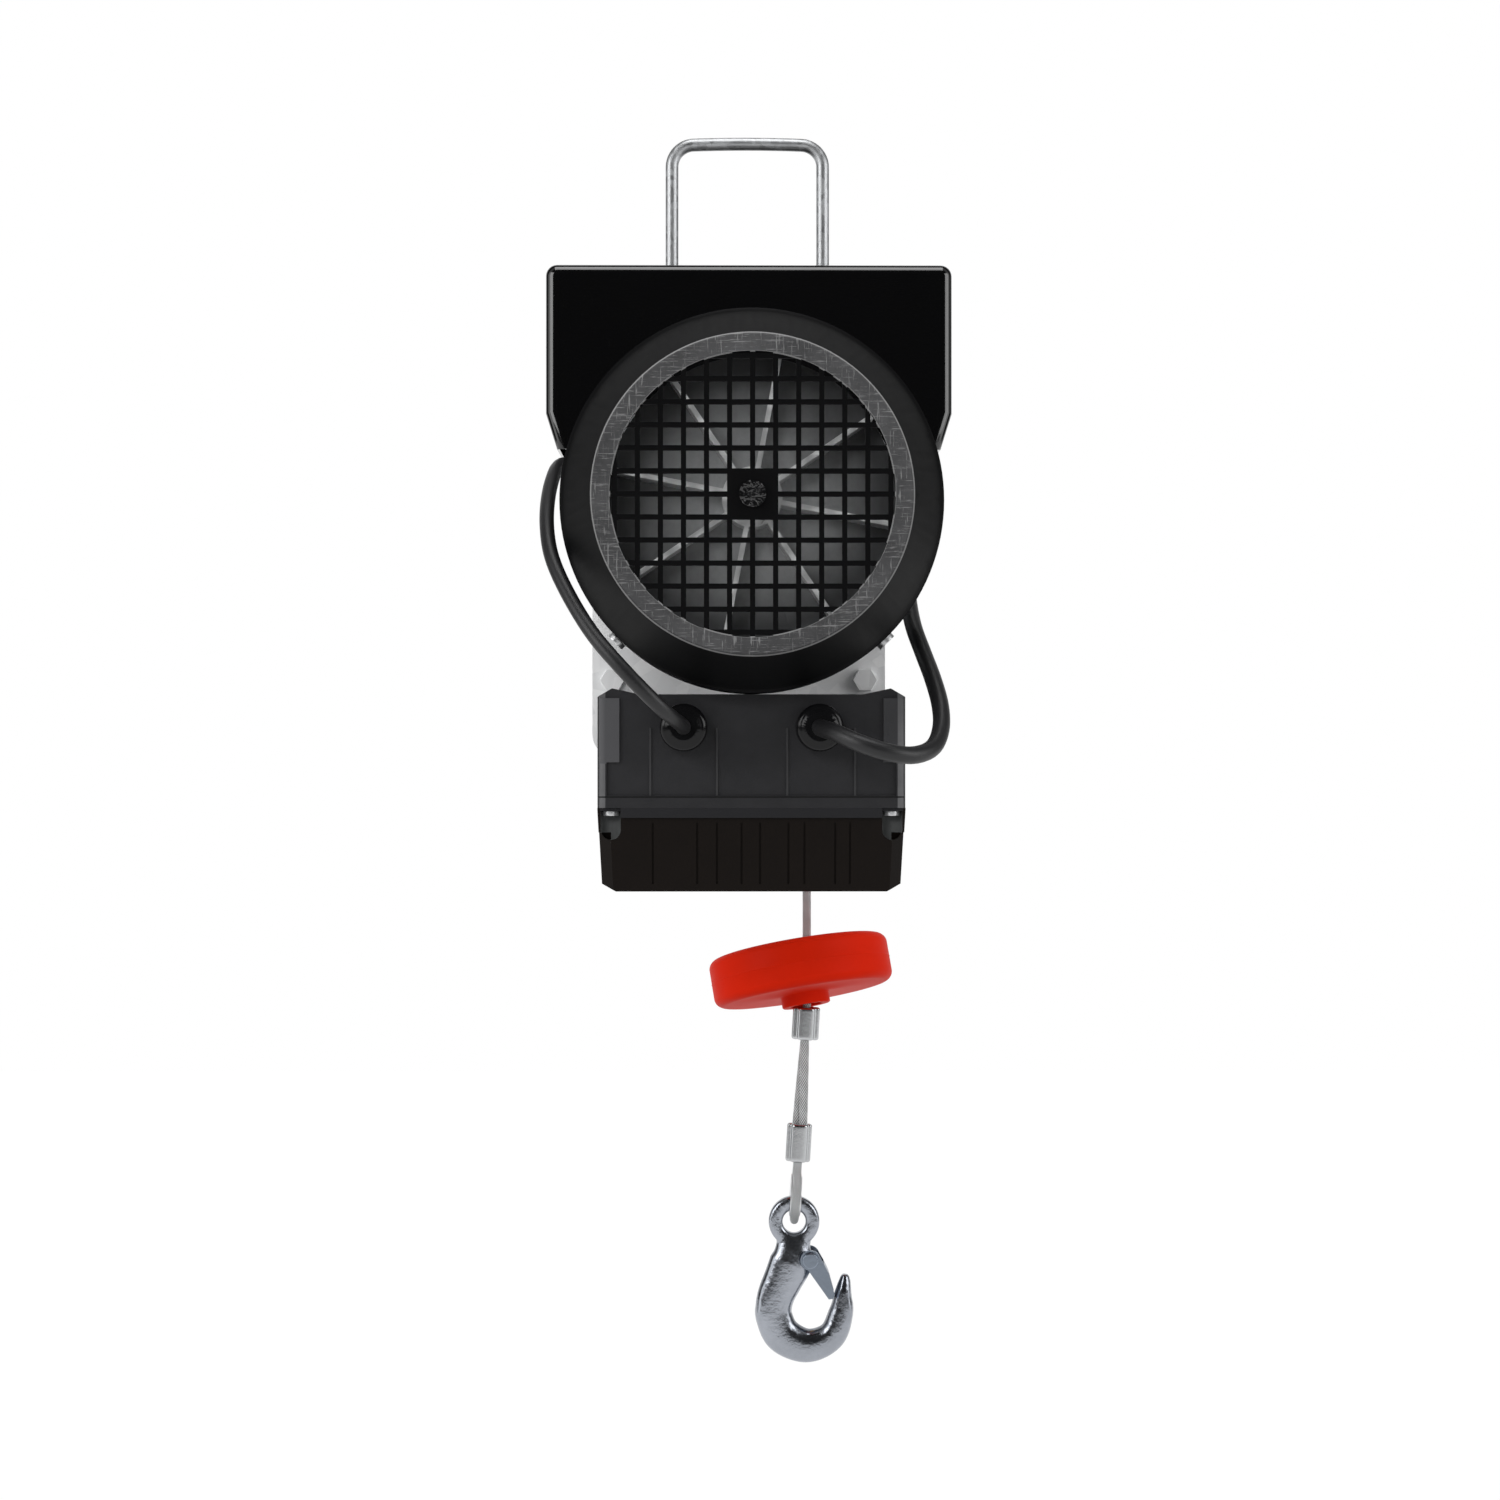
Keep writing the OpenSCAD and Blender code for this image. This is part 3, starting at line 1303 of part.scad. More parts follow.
// The latch rests against the inside of the hook's tip
rest_x = tip_x - 5.6;
rest_z = tip_z - 9;
latch_len = norm([rest_x - rivet_x, rest_z - rivet_z]);
latch_turn = atan2(rivet_z - rest_z, rest_x - rivet_x);

module latch_rivet() {
  color("silver") {
    cyl_y(rivet_d, -ear_in - latch_t - 1.6, ear_in + latch_t + 1.6, rivet_x, rivet_z);
    for (s = [-1, 1])
      mirror([0, s < 0 ? 1 : 0, 0])
        cyl_y(2 * rivet_d - 0.5, ear_in + latch_t + 0.1, ear_in + latch_t + 1.9, rivet_x, rivet_z);
  }
}

// Folded sheet latch: two ears on the rivet and a tongue that closes on the hook's tip
module hook_latch() {
  color([0.7, 0.73, 0.78])
    translate([rivet_x, 0, rivet_z]) rotate([0, latch_turn, 0])
      difference() {
        union() {
          for (s = [-1, 1])
            along_y(s * (ear_in + latch_t / 2) - latch_t / 2) linear_extrude(latch_t) scale([1, -1]) {
              circle(d = 9.5);
              polygon([[0, -4.4], [3, -3.3], [latch_len - 1, -2], [latch_len - 0.3, 0],
                [latch_len - 1.2, 1.4], [10, 4.2], [5, 4.6], [0, 4.7]]);
            }
          along_y(-ear_in - latch_t) linear_extrude(2 * (ear_in + latch_t)) scale([1, -1])
            polygon([[5, 4.6], [10, 4.2], [latch_len, 0], [latch_len - 0.7, -1], [9.6, 3], [5, 3.4]]);
        }
        cyl_y(rivet_d + 2 * run_fit, -ear_in - latch_t - 2, ear_in + latch_t + 2);
      }
}

// Torsion spring in a recess of the hook, round the rivet
spring_room = 4;
spring_room_r = rivet_d / 2 + 2.4;
spring_wire = 0.7;
spring_r = rivet_d / 2 + 1.2;
spring_turns = 2;
spring_step = 1.25;

module latch_spring() {
  y0 = hook_t / 2 - spring_room + 0.7;
  color("gray")
    swept([for (i = [0:8 * spring_turns]) let (a = 360 * i / 8)
      [rivet_x + spring_r * cos(a), y0 + spring_step * i / 8, rivet_z + spring_r * sin(a)]],
      spring_wire / 2, 6, [1, 0, 0]);
}

// ---------- leads and handset ----------

module p_clip(x, y, z, lead_d, side) {
  ring_d2 = lead_d + 0.6;
  edge = plate_x + side * plate_w / 2;
  difference() {
    union() {
      cyl_y(ring_d2 + 2.4, y - 4, y + 4, x, z);
      translate([edge, y - 4, z - 13])
        mirror([side < 0 ? 1 : 0, 0, 0]) translate([touch, 0, 0]) cube([1.4, 8, 15]);
      translate([edge, y - 4, z - 1.5])
        mirror([side < 0 ? 1 : 0, 0, 0]) translate([touch, 0, 0])
          cube([abs(x - edge) - ring_d2 / 2, 8, 3]);
      translate([edge, y, z - 9]) rotate([0, 90 * side, 0])
        translate([0, 0, 1]) cylinder(d = 6.5, h = 2.6);
    }
    cyl_y(ring_d2, y - 5, y + 5, x, z);
  }
}

module cable_clips() {
  color("black")
    for (s = [-1, 1]) {
      p_clip(mains_clip[0], s * clip_y, mains_clip[1], mains_d, 1);
      p_clip(pendant_clip_front[0], s * clip_y,
        s < 0 ? pendant_clip_front[1] : pendant_clip_rear[1], pendant_d, -1);
    }
}

module mains_cord() {
  color([0.06, 0.06, 0.06]) swept(mains_route, mains_d / 2, 8, [0, 0, 1]);
}

module pendant_cord() {
  color([0.06, 0.06, 0.06]) {
    swept(pendant_route, pendant_d / 2, 8, [0, 0, 1]);
    swept([[handset_x, coil_y2, coil_z - 12 - touch], [handset_x, coil_y2, (handset_top + coil_z) / 2],
      [handset_x, coil_y2, handset_top + handset_drop + touch]], pendant_d / 2, 8, [1, 0, 0]);
  }
}

// The coil starts upwards at its left, spirals in, climbs a layer and spirals out to its right
coil_rings = 24 * coil_loops;
function ease(t) = t <= 0 ? 0 : t >= 1 ? 1 : t * t * (3 - 2 * t);
function coil_point(i) =
  let (u = i / 24, from_end = min(u, coil_loops - u), a = 180 - 360 * u,
    r = coil_r - coil_step * from_end,
    y = coil_y1 + (coil_y2 - coil_y1) * ease((u - coil_loops / 2 + 0.25) * 2))
  [coil_x + r * cos(a), y, coil_z + r * sin(a)];
coil_path = concat(
  [[coil_x - coil_r, coil_y1, coil_z - 6]],
  [for (i = [0:coil_rings]) coil_point(i)],
  [[coil_x + coil_r, coil_y2, coil_z - 6], [coil_x + coil_r, coil_y2, coil_z - 12]]
);
coil_gap = least_gap([for (i = [0:2:coil_rings]) coil_point(i)], 6) - pendant_d;
echo(str("least gap between loops of the coil: ", coil_gap));
echo(str("mains lead length: ", run(mains_route)));
echo(str("handset lead length: ",
  run(pendant_route) + run(coil_path) + coil_z - 12 - handset_top - handset_drop));

module pendant_coil() {
  color([0.06, 0.06, 0.06]) swept(coil_path, pendant_d / 2, 6, [0, 1, 0]);
}

strap_t = 1.2;

module cable_strap() {
  y0 = cover_end + cover_boss + 1.2;
  y1 = coil_y2 + pendant_d / 2 + 1;
  z1 = tie_bar_z + tie_bar_d / 2 + 0.6;
  z0 = coil_z + coil_r - coil_step * coil_loops / 2 - pendant_d / 2 - 1.5;
  color("dimgray")
    translate([coil_x - 6, (y0 + y1) / 2, (z0 + z1) / 2]) rotate([90, 0, 90]) linear_extrude(12)
      difference() {
        round_rect(y1 - y0 + 2 * strap_t - strap_t, z1 - z0 + 2 * strap_t, 3);
        round_rect(y1 - y0 - strap_t, z1 - z0, 2);
      }
}

module mains_plug() {
  color([0.08, 0.08, 0.08]) translate([plug_pos[0], plug_pos[1], plug_z]) {
    translate([0, 0, -50]) rotate_extrude() polygon(concat(
      [[0, 0], [17.5, 0]], arc(16.5, 2, 1, -90, 0, 3), [[17.5, 12], [14, 24], [9, 30], [7.5, 34],
        [mains_d / 2 + 1, 50 - touch], [0, 50 - touch]]));
    for (s = [-1, 1])
      translate([s * 9.5, 0, -68.5]) {
        cylinder(d = 4, h = 19);
        sphere(d = 4);
      }
  }
}

rocker_z = handset_top - 52;
stop_z = handset_top - 92;
front_face = handset_y + handset_half;
rocker_w = 15;
rocker_h = 36;

handset_r = 11;

module shell_2d() {
  translate([0, handset_len / 2]) round_rect(handset_w, handset_len, handset_r);
}

module handset_front() {
  color([0.95, 0.72, 0.08])
    difference() {
      union() {
        along_y(handset_y + touch, handset_x, handset_top) linear_extrude(handset_half - touch) shell_2d();
        tube_y(stop_d + 6, stop_d + 2, front_face - 1, front_face + 3, handset_x, stop_z);
      }
      along_y(handset_y - 1, handset_x, handset_top - handset_wall)
        linear_extrude(handset_half - handset_wall + 1)
        translate([0, (handset_len - 2 * handset_wall) / 2])
          round_rect(handset_w - 2 * handset_wall, handset_len - 2 * handset_wall, handset_r - handset_wall);
      block(handset_x - rocker_w / 2 - 0.5, handset_x + rocker_w / 2 + 0.5, handset_y, front_face + 5,
        rocker_z - rocker_h / 2 - 1, rocker_z + rocker_h / 2 + 1);
      cyl_y(12 + 2 * run_fit, handset_y, front_face + 5, handset_x, stop_z);
      translate([handset_x, handset_y, handset_top - 6]) cylinder(d = 13, h = 12);
    }
}

module handset_back() {
  color([0.95, 0.72, 0.08]) {
    difference() {
      along_y(handset_y - handset_half, handset_x, handset_top) linear_extrude(handset_half) shell_2d();
      along_y(handset_y - handset_half + handset_wall, handset_x, handset_top - handset_wall)
        linear_extrude(handset_half)
          translate([0, (handset_len - 2 * handset_wall) / 2])
            round_rect(handset_w - 2 * handset_wall, handset_len - 2 * handset_wall,
              handset_r - handset_wall);
    }
    // bend relief where the lead enters
    translate([handset_x, handset_y, handset_top - 5]) {
      cylinder(d = 12.6, h = 6);
      cylinder(d1 = 12.6, d2 = pendant_d + 2, h = 5 + handset_drop);
    }
  }
}

module handset_rocker() {
  color([0.12, 0.12, 0.12])
    translate([handset_x, front_face - 1.5, rocker_z]) {
      rotate([0, 90, 0]) translate([0, 0, -rocker_w / 2]) linear_extrude(rocker_w)
        polygon([[-rocker_h / 2 + 1, 5.5], [0, 3.5], [rocker_h / 2 - 1, 5.5], [rocker_h / 2 - 1, 1],
          [4, -3], [-4, -3], [-rocker_h / 2 + 1, 1]]);
    }
}

stop_travel = 4;

module handset_stop() {
  color([0.8, 0.05, 0.04]) {
    cyl_y(12, handset_y + 4, front_face + 5 + stop_travel, handset_x, stop_z);
    along_y(front_face + 3 + stop_travel + 0.5, handset_x, stop_z) rotate_extrude()
      polygon(concat([[0, 0], [stop_d / 2 - 1, 0], [stop_d / 2, 1], [stop_d / 2, 3]],
        arc(stop_d / 2 - 3, 3, 3, 0, 80, 4), [[0, 7.4]]));
  }
}

hood();
bridge_plate();
pole_u_bolt();
u_bolt_nuts();
motor_side_plate();
gear_side_plate();
tie_rods();
plate_bolts();
drum_bearings();
motor_housing();
motor_front_shield();
motor_fan_shield();
stator_core();
stator_windings();
motor_bearings();
fan_cover();
fan_cover_screws();
gearbox_housing();
gearbox_cover();
gearbox_screws();
control_box();
box_lid();
lid_screws();
run_capacitor();
mains_gland();
pendant_gland();
limit_bracket();
limit_switch();
lever_pin();
lever_spring();
cable_clips();
cable_strap();
mains_cord();
mains_plug();
pendant_cord();
pendant_coil();
handset_front();
handset_back();
motor_shaft();
rotor_core();
cooling_fan();
intermediate_shaft();
intermediate_gear();
rope_drum();
rope_winding();
output_gear();
limit_lever();
limit_plunger();
hoist_rope();
rope_loop();
upper_ferrule();
lower_ferrule();
thimble();
stop_disc();
hook();
latch_rivet();
hook_latch();
latch_spring();
handset_rocker();
handset_stop();
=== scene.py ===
# %% [markdown]
# # A mini electric wire-rope hoist
# The hoist hangs from a pole by its U-bolt. A fan-cooled motor turns a rope drum through two
# pairs of gears, and a red stop disc on the rope switches the motor off when the hook is up.
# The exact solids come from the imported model. This lesson gives them their finishes, rounds
# their edges, and makes what solids can't show well: twisted rope, leads and forged steel.

import json
import math

import bmesh
import bpy
import numpy as np
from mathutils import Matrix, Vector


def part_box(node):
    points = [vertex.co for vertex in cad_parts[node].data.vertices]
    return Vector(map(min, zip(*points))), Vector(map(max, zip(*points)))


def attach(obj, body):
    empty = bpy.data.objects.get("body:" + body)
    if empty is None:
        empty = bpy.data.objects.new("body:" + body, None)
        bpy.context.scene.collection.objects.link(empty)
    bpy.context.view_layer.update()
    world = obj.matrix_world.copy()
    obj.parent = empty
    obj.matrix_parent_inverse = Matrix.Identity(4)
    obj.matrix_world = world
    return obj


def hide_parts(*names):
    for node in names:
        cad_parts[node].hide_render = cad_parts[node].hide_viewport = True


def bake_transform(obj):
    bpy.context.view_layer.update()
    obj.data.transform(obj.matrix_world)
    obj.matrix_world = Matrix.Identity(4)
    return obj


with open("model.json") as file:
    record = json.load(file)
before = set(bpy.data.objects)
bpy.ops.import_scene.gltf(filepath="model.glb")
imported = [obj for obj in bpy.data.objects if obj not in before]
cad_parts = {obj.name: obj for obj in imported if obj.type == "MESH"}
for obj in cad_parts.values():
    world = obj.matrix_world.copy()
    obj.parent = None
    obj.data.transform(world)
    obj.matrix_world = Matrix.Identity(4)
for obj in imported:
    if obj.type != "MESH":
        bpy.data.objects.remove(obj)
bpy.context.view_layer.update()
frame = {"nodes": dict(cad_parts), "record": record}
cad = frame["nodes"]
body_of_node = {n: b for b, names in frame["record"]["behaviour"]["bodies"].items() for n in names}
MM = 0.001

# %% [markdown]
# ## Camera
# The hoist is looked at straight along its motor, from a little over a metre. A long lens keeps
# the far end of the drum nearly as large as the fan. The focal length is given for a 36 mm
# sensor, so 69 mm is a view about 29 degrees wide.

# %% Camera
scene = bpy.context.scene
scene.view_settings.view_transform = "Standard"
camera = bpy.data.objects.new("camera", bpy.data.cameras.new("camera"))
scene.collection.objects.link(camera)
camera.data.sensor_width = 36.0
camera.data.lens = 69.0
camera.location = (-0.012, -1.355, -0.215)
camera.rotation_euler = (math.radians(90), 0, math.radians(-0.56))
scene.camera = camera
print("view width in degrees:", round(math.degrees(camera.data.angle), 1))

# %% [markdown]
# ## Studio
# A node tree is a list of boxes and links, so one short helper that adds a box, sets it and
# links it keeps each material readable. The light is plain: a soft lamp on each side and one
# above. The backdrop is white to the camera. Gloss sees it white in front of the camera, with a
# bright panel at each side and a dark room behind it, as in a real studio. White comes from
# Light Path and not from stronger lamps. The floor lies below the hook's lowest place.

# %% A helper for node trees
def add(tree, kind, inputs=(), **settings):
    """Adds one shader node: settings are its properties, and inputs its values or links."""
    node = tree.nodes.new("ShaderNode" + kind)
    for key, value in settings.items():
        setattr(node, key, value)
    for key, value in dict(inputs).items():
        if isinstance(value, bpy.types.NodeSocket):
            tree.links.new(value, node.inputs[key])
        else:
            node.inputs[key].default_value = value
    return node


def sums(tree, operation, a, b=0.0, c=0.0):
    """One sum of a Math node, such as ADD, as its output socket."""
    return add(tree, "Math", {0: a, 1: b, 2: c}, operation=operation).outputs[0]


def mixed(tree, share, a, b):
    """Colour a at share 0 and b at share 1, as an output socket."""
    return add(tree, "Mix", {0: share, 6: a, 7: b}, data_type="RGBA").outputs[2]


def ramp(tree, value, start, end, low=0.0, high=1.0):
    """low up to a value of start, high from end on, and evenly between them, as an output socket."""
    return add(tree, "MapRange", {0: value, 1: start, 2: end, 3: low, 4: high}).outputs[0]


print("node tree helpers:", [helper.__name__ for helper in (add, sums, mixed, ramp)])

# %% Backdrop and floor
WHITE = (1, 1, 1, 1)
world = bpy.data.worlds.new("studio")
scene.world = world
world.use_nodes = True
tree = world.node_tree
tree.nodes.clear()
ray = add(tree, "LightPath")
heading = add(tree, "SeparateXYZ", {0: add(tree, "TexCoord").outputs["Generated"]}).outputs
ahead = heading["Y"]   # from -1, behind the camera, to 1, in front of it
rise = ramp(tree, ahead, -0.42, -0.28)
fall = ramp(tree, ahead, 0.0, 0.12, 1.6, 0.0)
level_up = ramp(tree, heading["Z"], 0.15, 0.6, 1.0, 0.22)
panel = sums(tree, "MULTIPLY", sums(tree, "MULTIPLY", rise, fall), level_up)
gloss_level = sums(tree, "ADD", panel, ramp(tree, ahead, 0.5, 0.95, 0.03, 1.0))
level = add(tree, "Mix", {0: ray.outputs["Is Glossy Ray"], 2: 0.42, 3: gloss_level}).outputs[0]
straight = sums(tree, "MAXIMUM", ray.outputs["Is Camera Ray"], ray.outputs["Is Transmission Ray"])
strength = add(tree, "Mix", {0: straight, 2: level, 3: 1.0}).outputs[0]
light = add(tree, "Background", {"Color": WHITE, "Strength": strength})
add(tree, "OutputWorld", {"Surface": light.outputs[0]})

FLOOR_Z, FLOOR_HALF, HOOK_LOWEST = -2.6, 20.0, -2.44
floor_mesh = bpy.data.meshes.new("floor")
corners = [(FLOOR_HALF * x, FLOOR_HALF * y, FLOOR_Z) for x, y in ((-1, -1), (1, -1), (1, 1), (-1, 1))]
floor_mesh.from_pydata(corners, [], [(0, 1, 2, 3)])
floor = bpy.data.objects.new("floor", floor_mesh)
scene.collection.objects.link(floor)
pale = bpy.data.materials.new("pale_floor")
pale.use_nodes = True
tree = pale.node_tree
tree.nodes.clear()
ray = add(tree, "LightPath")
seen = sums(tree, "MAXIMUM", ray.outputs["Is Camera Ray"], ray.outputs["Is Glossy Ray"])
matt = add(tree, "BsdfDiffuse", {"Color": (0.9, 0.9, 0.9, 1)})
white = add(tree, "Emission", {"Color": WHITE, "Strength": 1.03})
own_light = sums(tree, "MULTIPLY", seen, 0.97)
both = add(tree, "MixShader", {0: own_light, 1: matt.outputs[0], 2: white.outputs[0]})
add(tree, "OutputMaterial", {"Surface": both.outputs[0]})
floor_mesh.materials.append(pale)
print("floor below the lowest hook, m:", round(HOOK_LOWEST - FLOOR_Z, 2))

# %% Lamps
MIDDLE = (0, -0.05, -0.22)


def lamp(name, place, size, power):
    """A square soft lamp that faces the middle of the hoist."""
    data = bpy.data.lights.new(name, "AREA")
    data.size = size
    data.energy = power
    obj = bpy.data.objects.new(name, data)
    scene.collection.objects.link(obj)
    obj.location = place
    aim = Vector(MIDDLE) - obj.location
    obj.rotation_euler = aim.to_track_quat("-Z", "Y").to_euler()
    return obj


lamp("lamp_left", (-1.3, -1.0, 0.35), 0.9, 10.0)
lamp("lamp_right", (1.35, -0.9, 0.25), 0.9, 8.0)
lamp("lamp_top", (0.0, -0.35, 1.25), 0.9, 9.0)
fill = lamp("lamp_front", (-0.45, -1.5, 0.25), 0.35, 5.0)
fill.visible_glossy = False   # it lights the fan through the grille, and gives no gloss

# %% [markdown]
# ## Shapes from arrays
# Every new surface is a grid of points worked out as one array, and four neighbours make a
# face. A tube is a ring carried along a path, a turned part is an outline carried round an
# axis, and a forging is a section whose width changes along a path. The same grid also gives
# each face corner its place along and round the piece, which patterns on rope and cloth need.

# %% Grids of points
def around(count):
    """The angles of one full turn in even steps, in radians."""
    return np.linspace(0, 2 * np.pi, count, endpoint=False)


def surface(points, u=None, loop=False):
    """Joins each 2 x 2 neighbours in a grid [rows, closed columns, 3]. loop closes the rows, else caps do."""
    rows, cols = points.shape[:2]
    u = np.arange(rows + 1.0) if u is None else u
    v = np.arange(cols + 1.0) / cols
    i, j = np.meshgrid(np.arange(rows if loop else rows - 1), np.arange(cols), indexing="ij")
    corners = [(i, j), (i, j + 1), (i + 1, j + 1), (i + 1, j)]
    faces = np.stack([(a % rows) * cols + b % cols for a, b in corners], -1).reshape(-1, 4).tolist()
    uv = np.stack([np.stack([u[a], v[b]], -1) for a, b in corners], 2).reshape(-1, 2)
    if not loop:
        faces += [list(range(cols)), list(range((rows - 1) * cols, rows * cols))]
        uv = np.concatenate([uv, np.zeros((2 * cols, 2))])
    return points.reshape(-1, 3), faces, uv


print("an angle step of 96 is", round(math.degrees(around(96)[1]), 2), "degrees")

# %% Pieces
SAME_POINT = 2e-6   # in metres


def piece(name, parts, finish, body, replaces=(), crease=40):
    """Puts grids into one mesh, joins points that coincide, and turns its faces outwards."""
    points, faces, uvs, start = [], [], [], 0
    for p, f, uv in parts:
        points.append(p)
        faces += [[a + start for a in face] for face in f]
        uvs.append(uv)
        start += len(p)
    mesh = bpy.data.meshes.new(name)
    mesh.from_pydata(np.concatenate(points).tolist(), [], faces)
    layer = mesh.uv_layers.new(name="along_and_round")
    layer.data.foreach_set("uv", np.concatenate(uvs).ravel())
    bm = bmesh.new()
    bm.from_mesh(mesh)
    bmesh.ops.remove_doubles(bm, verts=bm.verts, dist=SAME_POINT)
    bmesh.ops.recalc_face_normals(bm, faces=bm.faces)
    return placed(name, bm, mesh, finish, body, replaces, crease)


def placed(name, bm, mesh, finish, body, replaces, crease):
    """Writes a bmesh as a piece on its body, smooth but for edges sharper than crease degrees."""
    for face in bm.faces:
        face.smooth = True
    for edge in bm.edges:
        edge.smooth = len(edge.link_faces) != 2 or edge.calc_face_angle(0) < math.radians(crease)
    bm.to_mesh(mesh)
    bm.free()
    mesh.materials.clear()
    mesh.materials.append(finish)
    obj = bpy.data.objects.new(name, mesh)
    scene.collection.objects.link(obj)
    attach(obj, body)
    if replaces:
        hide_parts(*replaces)
    return obj


# %% [markdown]
# Leads, rope and rods follow paths, which are points in a row. Each point needs two directions
# across the path. They mustn't spin along it, or the strands of a rope would bunch up.

# %% Paths
def run_of(path):
    """How far along a path each of its points lies: the sum of the steps up to it."""
    return np.concatenate([[0], np.cumsum(np.linalg.norm(np.diff(path, axis=0), axis=1))])


def spaced(path, step):
    """The same path with its points an even step apart: its length so far is read off at even values."""
    run = run_of(path)
    at = np.linspace(0, run[-1], max(int(round(run[-1] / step)), 2) + 1)
    return np.stack([np.interp(at, run, path[:, k]) for k in range(3)], -1)


def smooth_line(points, step):
    """A curve through all points. Between two, each coordinate is a cubic, and its slope at a point is
    half the way from the point before to the one after."""
    p = np.array(points, float)
    p = np.concatenate([[2 * p[0] - p[1]], p, [2 * p[-1] - p[-2]]])
    t = np.linspace(0, 1, 12, endpoint=False)[None, :, None]
    a, b, c, d = p[:-3, None], p[1:-2, None], p[2:-1, None], p[3:, None]
    curve = b + 0.5 * t * (c - a + t * (2 * a - 5 * b + 4 * c - d + t * (3 * (b - c) + d - a)))
    return spaced(np.concatenate([curve.reshape(-1, 3), p[-2:-1]]), step)


def length_of(path):
    """The length of a path: the sum of all its steps."""
    return float(run_of(path)[-1])


def unit(v):
    """Vectors of length one: each is divided by its own length."""
    return v / np.linalg.norm(v, axis=-1, keepdims=True)


def frames(path):
    """A heading and two side directions at each point. A side is the last one less its part ahead."""
    ahead = unit(np.gradient(path, axis=0))
    side, last = np.zeros_like(path), np.eye(3)[np.argmin(np.abs(ahead[0]))]
    for i, t in enumerate(ahead):
        last = last - t * (last @ t)
        last = last / np.linalg.norm(last)
        side[i] = last
    return ahead, side, np.cross(ahead, side)


print("a right angle's two legs of 1 are", length_of(np.array([[0, 0, 0], [1, 0, 0], [1, 1, 0]])), "long")


# %% Tubes, turned parts and carried sections
def tube(path, radius, sides=16):
    """A circle of a given radius, in the plane square to the path, at each of the path's points."""
    _, u, v = frames(path)
    a = around(sides)[None, :, None]
    ring = np.cos(a) * u[:, None] + np.sin(a) * v[:, None]
    return surface(path[:, None] + radius * ring, u=run_of(path))


def strands(path, radius, lay=0.021, sides=8, count=12):
    """A rope's outer strands, each once round in every lay. Just touching, a strand's share of the radius
    is the sine of half its angle over one plus that sine, and 5 % more lets it press on the next."""
    half_gap = math.sin(math.pi / count)
    thick = 1.05 * half_gap / (1 + half_gap)
    _, u, v = frames(path)
    along = run_of(path)
    a = around(sides)[None, :, None]
    parts = []
    for k in range(count):
        turn = 2 * np.pi * (k / count + along / lay)[:, None]
        out = np.cos(turn) * u + np.sin(turn) * v
        middle = path + (1 - thick) * radius * out
        over = unit(np.cross(np.gradient(middle, axis=0), out))
        ring = np.cos(a) * out[:, None] + np.sin(a) * over[:, None]
        parts.append(surface(middle[:, None] + thick * radius * ring, u=along))
    return parts


def rounded(corners, radius, steps=4):
    """Rounds a closed outline: at each corner a parabola runs from a radius before it to one after it."""
    c = np.array(corners, float)
    back, on = np.roll(c, 1, 0) - c, np.roll(c, -1, 0) - c
    reach = [np.minimum(radius, 0.45 * np.linalg.norm(d, axis=1))[:, None] for d in (back, on)]
    a, b = c + unit(back) * reach[0], c + unit(on) * reach[1]
    t = np.linspace(0, 1, steps + 1)[None, :, None]
    return ((1 - t) ** 2 * a[:, None] + 2 * t * (1 - t) * c[:, None] + t ** 2 * b[:, None]).reshape(-1, 2)


def revolve(outline, centre, axis="Y", steps=96, flutes=None):
    """Carries an outline of (radius, station) round an axis. flutes scales radii by angle and station."""
    a = around(steps)
    r, s = (np.repeat(outline[:, None, k], steps, 1) for k in (0, 1))
    if flutes is not None:
        r = r * flutes(a[None, :], s)
    x, y = r * np.cos(a), r * np.sin(a)
    grid = (x, s, y) if axis == "Y" else (x, y, s)
    return surface(np.stack(grid, -1) + np.array(centre), loop=True)


def carried(section, path, across, loop=False):
    """Carries a section of (out, over) along a flat path. over lies along across, and out square to both."""
    step = np.roll(path, -1, 0) - np.roll(path, 1, 0) if loop else np.gradient(path, axis=0)
    across = unit(np.array(across, float))
    out = unit(np.cross(step, across))
    section = np.broadcast_to(section, (len(path),) + section.shape[-2:])
    points = path[:, None] + section[..., :1] * out[:, None] + section[..., 1:] * across
    along = run_of(path)
    along = np.append(along, along[-1] + np.linalg.norm(path[0] - path[-1])) if loop else along
    return surface(points, u=along, loop=loop)


def tilted(part, angle, pivot, about_x=False):
    """Turns a part about +Y or +X through a pivot, by degrees: two coordinates trade cos and sin parts."""
    points, faces, uv = part
    c, s = math.cos(math.radians(angle)), math.sin(math.radians(angle))
    x, y, z = (points - np.array(pivot)).T
    if about_x:
        y, z = y * c - z * s, z * c + y * s
    else:
        x, z = x * c + z * s, z * c - x * s
    return np.stack([x, y, z], -1) + np.array(pivot), faces, uv


print("a test tube has", len(tube(np.array([[0, 0, 0], [0, 0, 1.0]]), 0.1)[1]), "faces")

# %% [markdown]
# ## Effects that several finishes share
# A shader node group is a small tree with named inputs and outputs, built once and placed in
# many materials. These give only values: cloudy and fine grain for paint, plastic and
# castings, the frost-like cells of hot-dip zinc, scratches, and the wires of a rope, whose
# value carries a painted shade in its grooves. The shader itself stays in each material, so
# that each can be exported.

# %% Node groups
def effect(name, inputs, outputs):
    """An empty node group with the given number inputs, after a Vector, and value outputs."""
    group = bpy.data.node_groups.new(name, "ShaderNodeTree")
    group.interface.new_socket("Vector", in_out="INPUT", socket_type="NodeSocketVector")
    for key, value in inputs.items():
        socket = group.interface.new_socket(key, in_out="INPUT", socket_type="NodeSocketFloat")
        socket.default_value = value
    for key in outputs:
        group.interface.new_socket(key, in_out="OUTPUT", socket_type="NodeSocketFloat")
    return group, group.nodes.new("NodeGroupInput").outputs, group.nodes.new("NodeGroupOutput").inputs


